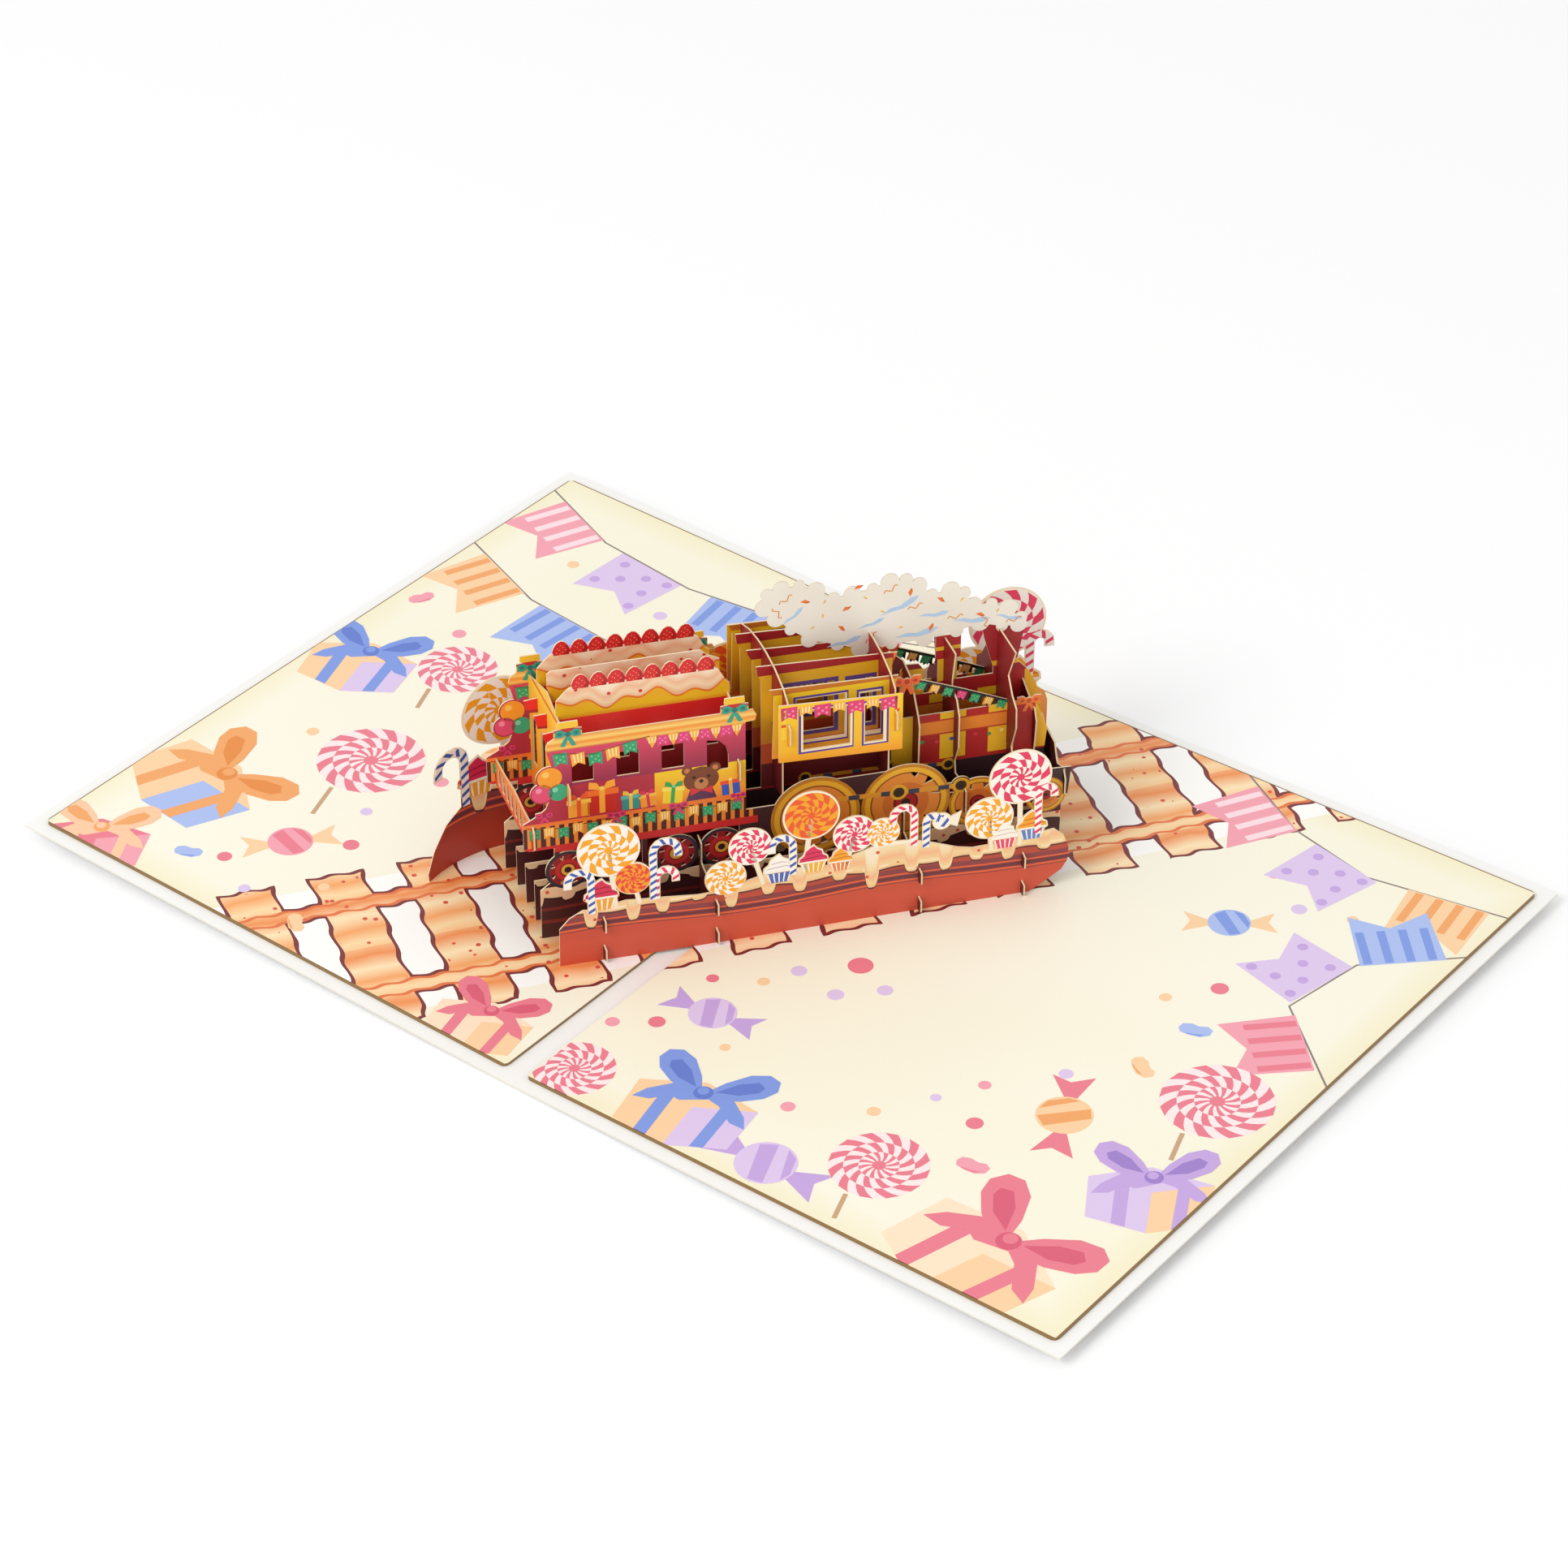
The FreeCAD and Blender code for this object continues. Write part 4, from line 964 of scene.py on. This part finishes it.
roof_art = inner_art()
for offset, word in ((-INNER_Y, "front"), (INNER_Y, "rear")):
    for side, face in ((-1, "front"), (1, "back")):
        roof_art.build("%s_inner_print_%s" % (word, face), "train_paper", face_of(offset, side))

# Page pictures: pastel pennants, swirl lollipops, wrapped sweets, presents and
# dots round the borders, printed on both pages in flat colours.
PAGE_TILT = math.radians(1.0)
FOLD_HALF = 3.0
PAGE_TOP = 1.3


def on_page(side):
    def to_world(x, lift, y):
        run = side * x - FOLD_HALF
        height = PAGE_TOP + lift
        return Vector((side * (FOLD_HALF + run * math.cos(PAGE_TILT) - height * math.sin(PAGE_TILT)), y,
                       run * math.sin(PAGE_TILT) + height * math.cos(PAGE_TILT))) * MM
    return to_world


def big_flag(art, code, stripe, dots=False):
    """A wide swallow-tailed pennant, one unit across."""
    art.poly(code, [(-0.5, 0), (0.5, 0), (0.46, -0.92), (0.02, -0.66), (-0.46, -0.9)])
    art.level += 1
    if dots:
        for a, b in ((-0.3, -0.16), (0.1, -0.2), (0.38, -0.12), (-0.12, -0.42), (0.28, -0.46),
                     (-0.34, -0.64), (0.36, -0.76)):
            art.disc(stripe, a, b, 0.065, 14, True)
    else:
        for k in range(4):
            a = -0.4 + 0.25 * k
            art.poly(stripe, [(a, -0.02), (a + 0.1, -0.02), (a + 0.09, -0.62), (a - 0.01, -0.62)], True)


def wrapped(art, code, stripe, wrap):
    """A wrapped sweet of radius 1 with a twist at each end."""
    for way in (-1, 1):
        art.poly(wrap, [(way * 0.8, 0.1), (way * 2.1, 0.8), (way * 1.8, 0.1), (way * 2.2, -0.7),
                        (way * 0.8, -0.2)], way > 0)
    art.disc(code, 0, 0, 1.0, 26)
    art.level += 1
    art.poly(stripe, [(-0.7, 0.6), (-0.2, 0.92), (0.5, -0.82), (0.0, -0.94)], True)
    art.poly(stripe, [(0.2, 0.92), (0.65, 0.7), (0.94, 0.0), (0.85, -0.4)], True)


def bean(art, code, shade):
    """A jelly bean about two units long."""
    art.poly(code, [(-1.0, 0.1), (-0.8, 0.5), (-0.3, 0.6), (0.2, 0.42), (0.7, 0.5), (1.05, 0.2),
                    (0.95, -0.3), (0.4, -0.58), (-0.3, -0.5), (-0.85, -0.3)])
    art.poly(shade, [(-0.6, -0.32), (0.0, -0.36), (0.6, -0.3), (0.9, -0.1), (0.4, -0.48), (-0.3, -0.44)])


def present(art, box, side_code, ribbon, shade):
    """A present seen at an angle, about two units across."""
    art.poly(side_code, [(-0.9, -0.9), (0.05, -1.15), (0.05, -0.2), (-0.95, 0.05)])
    art.poly(box, [(0.05, -1.15), (0.95, -0.85), (0.98, 0.1), (0.05, -0.2)])
    art.poly(side_code, [(-0.95, 0.05), (0.05, -0.2), (0.98, 0.1), (0.0, 0.4)])
    art.poly(ribbon, [(-0.5, -1.0), (-0.28, -1.06), (-0.3, -0.1), (-0.52, -0.05)])
    art.poly(ribbon, [(0.42, -1.02), (0.62, -0.96), (0.64, 0.0), (0.44, -0.07)])
    art.poly(ribbon, [(-0.45, -0.07), (-0.2, -0.14), (0.55, 0.23), (0.32, 0.3)])
    for way in (-1, 1):
        tail = [(0.0, 0.1), (0.34, -0.02), (0.66, -0.3), (0.92, -0.34), (0.8, -0.1), (0.5, 0.18),
                (0.1, 0.26)]
        art.poly(ribbon, [(way * a + 0.05, b) for a, b in tail], way > 0)
    art.level += 1
    loop = [(0.0, 0.12), (0.2, 0.5), (0.46, 0.82), (0.72, 0.94), (0.92, 0.86), (0.98, 0.64), (0.86, 0.42),
            (0.56, 0.2), (0.24, 0.08)]
    for way in (-1, 1):
        art.poly(ribbon, [(way * a + 0.05, b) for a, b in loop], way > 0)
    art.level += 1
    fold = [(0.16, 0.24), (0.4, 0.56), (0.64, 0.72), (0.78, 0.64), (0.74, 0.5), (0.5, 0.32)]
    for way in (-1, 1):
        art.poly(shade, [(way * a + 0.05, b) for a, b in fold], way > 0)
    art.disc(shade, 0.05, 0.16, 0.15, 18)
    art.disc(ribbon, 0.03, 0.2, 0.09, 14)


P_PINK = "F2A0AE"
P_PALE_PINK = "FADCE0"
P_ROSE = "E97B8C"
P_DEEP_ROSE = "D95A74"
P_LILAC = "DCC6EA"
P_PURPLE = "C3A4DE"
P_BLUE = "A9BCEC"
P_SKY = "7C98E0"
P_PEACH = "F8CFA0"
P_ORANGE = "F0A460"
P_WHITE = "FCE8E6"
P_STRING = "8A7A76"
P_STICK = "C9A27C"
UPPER_STRING_Y = 70.0
CUT = 0.3
GUTTER = 0.4


def strings(art, routes):
    art.at(0, 0)
    for route in routes:
        art.line(P_STRING, route, 0.5)


def page_flags(art, width, places):
    """Pennants in layers: the upper string's lie under the lower string's."""
    for x, y, turn, code, stripe, dots in places:
        art.at(x, y, turn, width, 3 if y > UPPER_STRING_Y else 6)
        big_flag(art, code, stripe, dots)


def page_lollies(art, stick, turn, places):
    """Swirl lollipops, each on a stick that leans as given."""
    for x, y, size in places:
        art.at(x, y - size, 0.2, 1.0, 3)
        art.line(P_STICK, [(0, 0), (stick[0], -size * stick[1])], 1.1)
        art.at(x, y, turn, size, 12)
        swirl(art, P_ROSE, P_WHITE, 12, 3)


def page_sweets(art, places):
    for x, y, turn, size, colours in places:
        art.at(x, y, turn, size, 9)
        wrapped(art, *colours)


def page_presents(art, places):
    for x, y, turn, size, colours in places:
        art.at(x, y, turn, size, 16)
        present(art, *colours)


def page_beans(art, size, places):
    for x, y, turn, code, shade in places:
        art.at(x, y, turn, size)
        bean(art, code, shade)


def page_dots(art, places):
    for x, y, size, code in places:
        art.at(x, y)
        art.disc(code, 0, 0, size, 18)


left = Print()
strings(left, (
    [(-147.0, 90.0), (-120.0, 79.0), (-90.0, 76.0), (-56.0, 81.0), (-20.0, 97.0)],
    [(-147.0, 58.0), (-118.0, 47.0), (-92.0, 45.0), (-64.0, 52.0), (-34.0, 70.0),
     (-12.0, 92.0)]))
page_flags(left, 21.0, (
    (-131.0, 83.4, -0.38, P_PINK, P_PALE_PINK, False),
    (-103.0, 77.0, -0.1, P_LILAC, P_PURPLE, True),
    (-73.0, 78.2, 0.14, P_BLUE, P_SKY, False),
    (-43.0, 86.8, 0.42, P_PINK, P_PALE_PINK, False),
    (-131.0, 51.8, -0.36, P_PEACH, P_ORANGE, False),
    (-104.0, 45.8, -0.08, P_BLUE, P_SKY, False),
    (-77.0, 48.6, 0.24, P_LILAC, P_PURPLE, True),
    (-48.0, 61.4, 0.5, P_PINK, P_ROSE, False)))
page_lollies(left, (1.4, 0.8), 0.3, ((-112.0, 12.0, 10.6), (-103.0, -30.0, 14.0), (-14.0, 66.0, 9.0)))
page_sweets(left, (
    (-86.0, 16.0, 0.4, 5.6, (P_LILAC, P_PURPLE, P_PURPLE)),
    (-78.0, -10.0, 1.9, 6.0, (P_PEACH, P_ORANGE, P_ROSE)),
    (-36.0, 44.0, -0.4, 5.0, (P_BLUE, P_SKY, P_LILAC)),
    (-96.0, -66.0, 0.9, 5.4, (P_PINK, P_ROSE, P_PEACH))))
page_presents(left, (
    (-134.0, 2.0, 0.3, 14.0, (P_LILAC, P_PEACH, P_SKY, "5F7ACC")),
    (-128.0, -58.0, -0.4, 17.0, (P_BLUE, P_PEACH, P_ORANGE, "E58A3A")),
    (-18.0, -86.0, 0.2, 12.0, (P_PEACH, "FBDFC0", P_ROSE, P_DEEP_ROSE)),
    (-134.0, -92.0, 0.5, 13.0, (P_PINK, P_ROSE, "F8C8A0", P_ORANGE))))
page_beans(left, 3.4, (
    (-112.0, -84.0, 0.5, P_BLUE, P_SKY), (-74.0, -88.0, -0.6, P_PEACH, P_ORANGE),
    (-92.0, 34.0, 0.3, P_PEACH, P_ORANGE), (-140.0, 30.0, 1.2, P_PINK, P_ROSE)))
page_dots(left, (
    (-96.0, 0.0, 1.7, P_LILAC), (-92.0, -6.0, 1.3, P_ROSE), (-84.0, -26.0, 1.9, P_PINK),
    (-90.0, -46.0, 1.5, P_LILAC), (-84.0, -58.0, 2.0, P_ROSE), (-78.0, -74.0, 1.4, P_PEACH),
    (-66.0, 26.0, 1.4, P_PINK), (-60.0, 38.0, 2.0, P_PEACH), (-50.0, 34.0, 1.4, P_LILAC),
    (-104.0, -80.0, 1.8, P_ROSE), (-26.0, 56.0, 1.6, P_ROSE), (-92.0, -86.0, 1.5, P_LILAC),
    (-66.0, 4.0, 1.3, P_PEACH), (-122.0, 24.0, 1.8, P_PINK), (-8.0, 84.0, 1.6, P_LILAC),
    (-100.0, 28.0, 1.4, P_ROSE), (-122.0, -30.0, 1.6, P_PEACH), (-72.0, -34.0, 1.2, P_LILAC),
    (-120.0, 66.0, 1.6, P_PEACH), (-88.0, 62.0, 1.8, P_LILAC)))
left.trim(CUT - PAGE_EDGE_X, -FOLD_HALF - GUTTER, CUT - PAGE_EDGE_Y, PAGE_EDGE_Y - CUT)
left.build("left_page_print", "printed_page", on_page(-1), step=0.004)

right = Print()
strings(right, (
    [(66.0, 97.0), (88.0, 84.0), (112.0, 78.0), (147.0, 84.0)],
    [(147.0, 66.0), (128.0, 48.0), (124.0, 26.0), (147.0, 6.0)]))
page_flags(right, 20.0, (
    (80.0, 88.6, -0.5, P_PINK, P_PALE_PINK, False),
    (105.0, 79.8, -0.22, P_LILAC, P_PURPLE, True),
    (132.0, 81.4, 0.16, P_PEACH, P_ORANGE, False),
    (136.0, 55.0, 3.9, P_BLUE, P_SKY, False),
    (125.6, 37.0, 4.5, P_LILAC, P_PURPLE, True),
    (134.0, 17.0, 5.5, P_PINK, P_ROSE, False)))
page_lollies(right, (1.2, 0.7), 0.8, ((130.0, -12.0, 13.6), (84.0, -74.0, 11.8), (10.0, -88.0, 10.0)))
page_sweets(right, (
    (22.0, -54.0, 0.1, 5.6, (P_LILAC, P_PURPLE, P_PURPLE)),
    (106.0, -36.0, 2.0, 6.4, (P_PEACH, P_ORANGE, P_ROSE)),
    (64.0, -88.0, 0.0, 7.0, (P_LILAC, P_PURPLE, P_PURPLE)),
    (96.0, 44.0, 0.6, 5.0, (P_BLUE, P_SKY, P_PEACH))))
page_presents(right, (
    (38.0, -80.0, 0.2, 15.0, (P_LILAC, P_PEACH, P_SKY, "5F7ACC")),
    (119.0, -80.0, -0.3, 19.0, (P_PEACH, "FBE2C2", P_ROSE, P_DEEP_ROSE)),
    (134.0, -44.0, 0.5, 14.0, (P_PEACH, P_LILAC, P_PURPLE, "9C7CC8"))))
page_beans(right, 3.8, (
    (112.0, 6.0, 0.4, P_BLUE, P_SKY), (110.0, -12.0, -0.5, P_PEACH, P_ORANGE),
    (100.0, -62.0, 0.2, P_PINK, P_ROSE)))
page_dots(right, (
    (38.0, -20.0, 3.0, P_ROSE), (28.0, -30.0, 1.9, P_LILAC), (48.0, -24.0, 1.9, P_LILAC),
    (40.0, -32.0, 2.0, P_LILAC), (24.0, -38.0, 1.5, P_PEACH), (14.0, -64.0, 2.0, P_ROSE),
    (6.0, -70.0, 1.7, P_PINK), (32.0, -62.0, 1.3, P_PEACH), (92.0, -50.0, 2.0, P_ROSE),
    (98.0, -24.0, 1.7, P_LILAC), (86.0, -38.0, 1.5, P_PINK), (72.0, -60.0, 1.6, P_PEACH),
    (106.0, 58.0, 1.9, P_LILAC), (108.0, 22.0, 2.1, P_ROSE), (94.0, 66.0, 1.6, P_PINK),
    (100.0, 12.0, 1.5, P_PEACH), (80.0, -48.0, 1.3, P_LILAC), (14.0, -44.0, 1.5, P_ROSE),
    (56.0, -70.0, 1.7, P_PINK), (118.0, 62.0, 1.4, P_PEACH)))
right.trim(FOLD_HALF + GUTTER, PAGE_EDGE_X - CUT, CUT - PAGE_EDGE_Y, PAGE_EDGE_Y - CUT)
right.build("right_page_print", "printed_page", on_page(1), step=0.004)

# Stage: a white floor, an even white surround and a soft light from the left
# and in front, as on a studio table.
FLOOR_HALF = 6.0
floor_mesh = bpy.data.meshes.new("floor")
bm = bmesh.new()
bmesh.ops.create_grid(bm, x_segments=1, y_segments=1, size=FLOOR_HALF)
bmesh.ops.translate(bm, vec=(0, 0, -0.0002), verts=bm.verts[:])
bm.to_mesh(floor_mesh)
bm.free()
floor = bpy.data.objects.new("floor", floor_mesh)
bpy.context.scene.collection.objects.link(floor)
floor_mesh.materials.append(Paint("floor_white", "FBFBFB", 0.9).finish())

world = bpy.data.worlds.new("surround")
bpy.context.scene.world = world
world.use_nodes = True
world.node_tree.nodes["Background"].inputs["Color"].default_value = (1.0, 1.0, 1.0, 1.0)
world.node_tree.nodes["Background"].inputs["Strength"].default_value = 0.86


def lamp(name, at, aim, size, power):
    data = bpy.data.lights.new(name, "AREA")
    data.shape = "DISK"
    data.size = size
    data.energy = power
    item = bpy.data.objects.new(name, data)
    item.location = at
    item.rotation_euler = (Vector(aim) - Vector(at)).to_track_quat("-Z", "Y").to_euler()
    bpy.context.scene.collection.objects.link(item)


lamp("key", (-0.2, -1.5, 1.4), (0, 0, 0.03), 0.9, 14.0)

# Camera, at the photograph's place.
EYE = Vector((0.5395, -0.6903, 0.6566))
AZIMUTH = math.radians(38.0)
ELEVATION = math.radians(35.8)
LENS = 106.98
camera = bpy.data.cameras.new("camera")
camera.lens = LENS
camera.sensor_width = 36.0
camera.dof.use_dof = False
view = bpy.data.objects.new("camera", camera)
bpy.context.scene.collection.objects.link(view)
view.location = EYE
look = Vector((-math.sin(AZIMUTH) * math.cos(ELEVATION), math.cos(AZIMUTH) * math.cos(ELEVATION),
               -math.sin(ELEVATION)))
view.rotation_euler = look.to_track_quat("-Z", "Y").to_euler()
bpy.context.scene.camera = view

bpy.context.scene.view_settings.view_transform = "Standard"
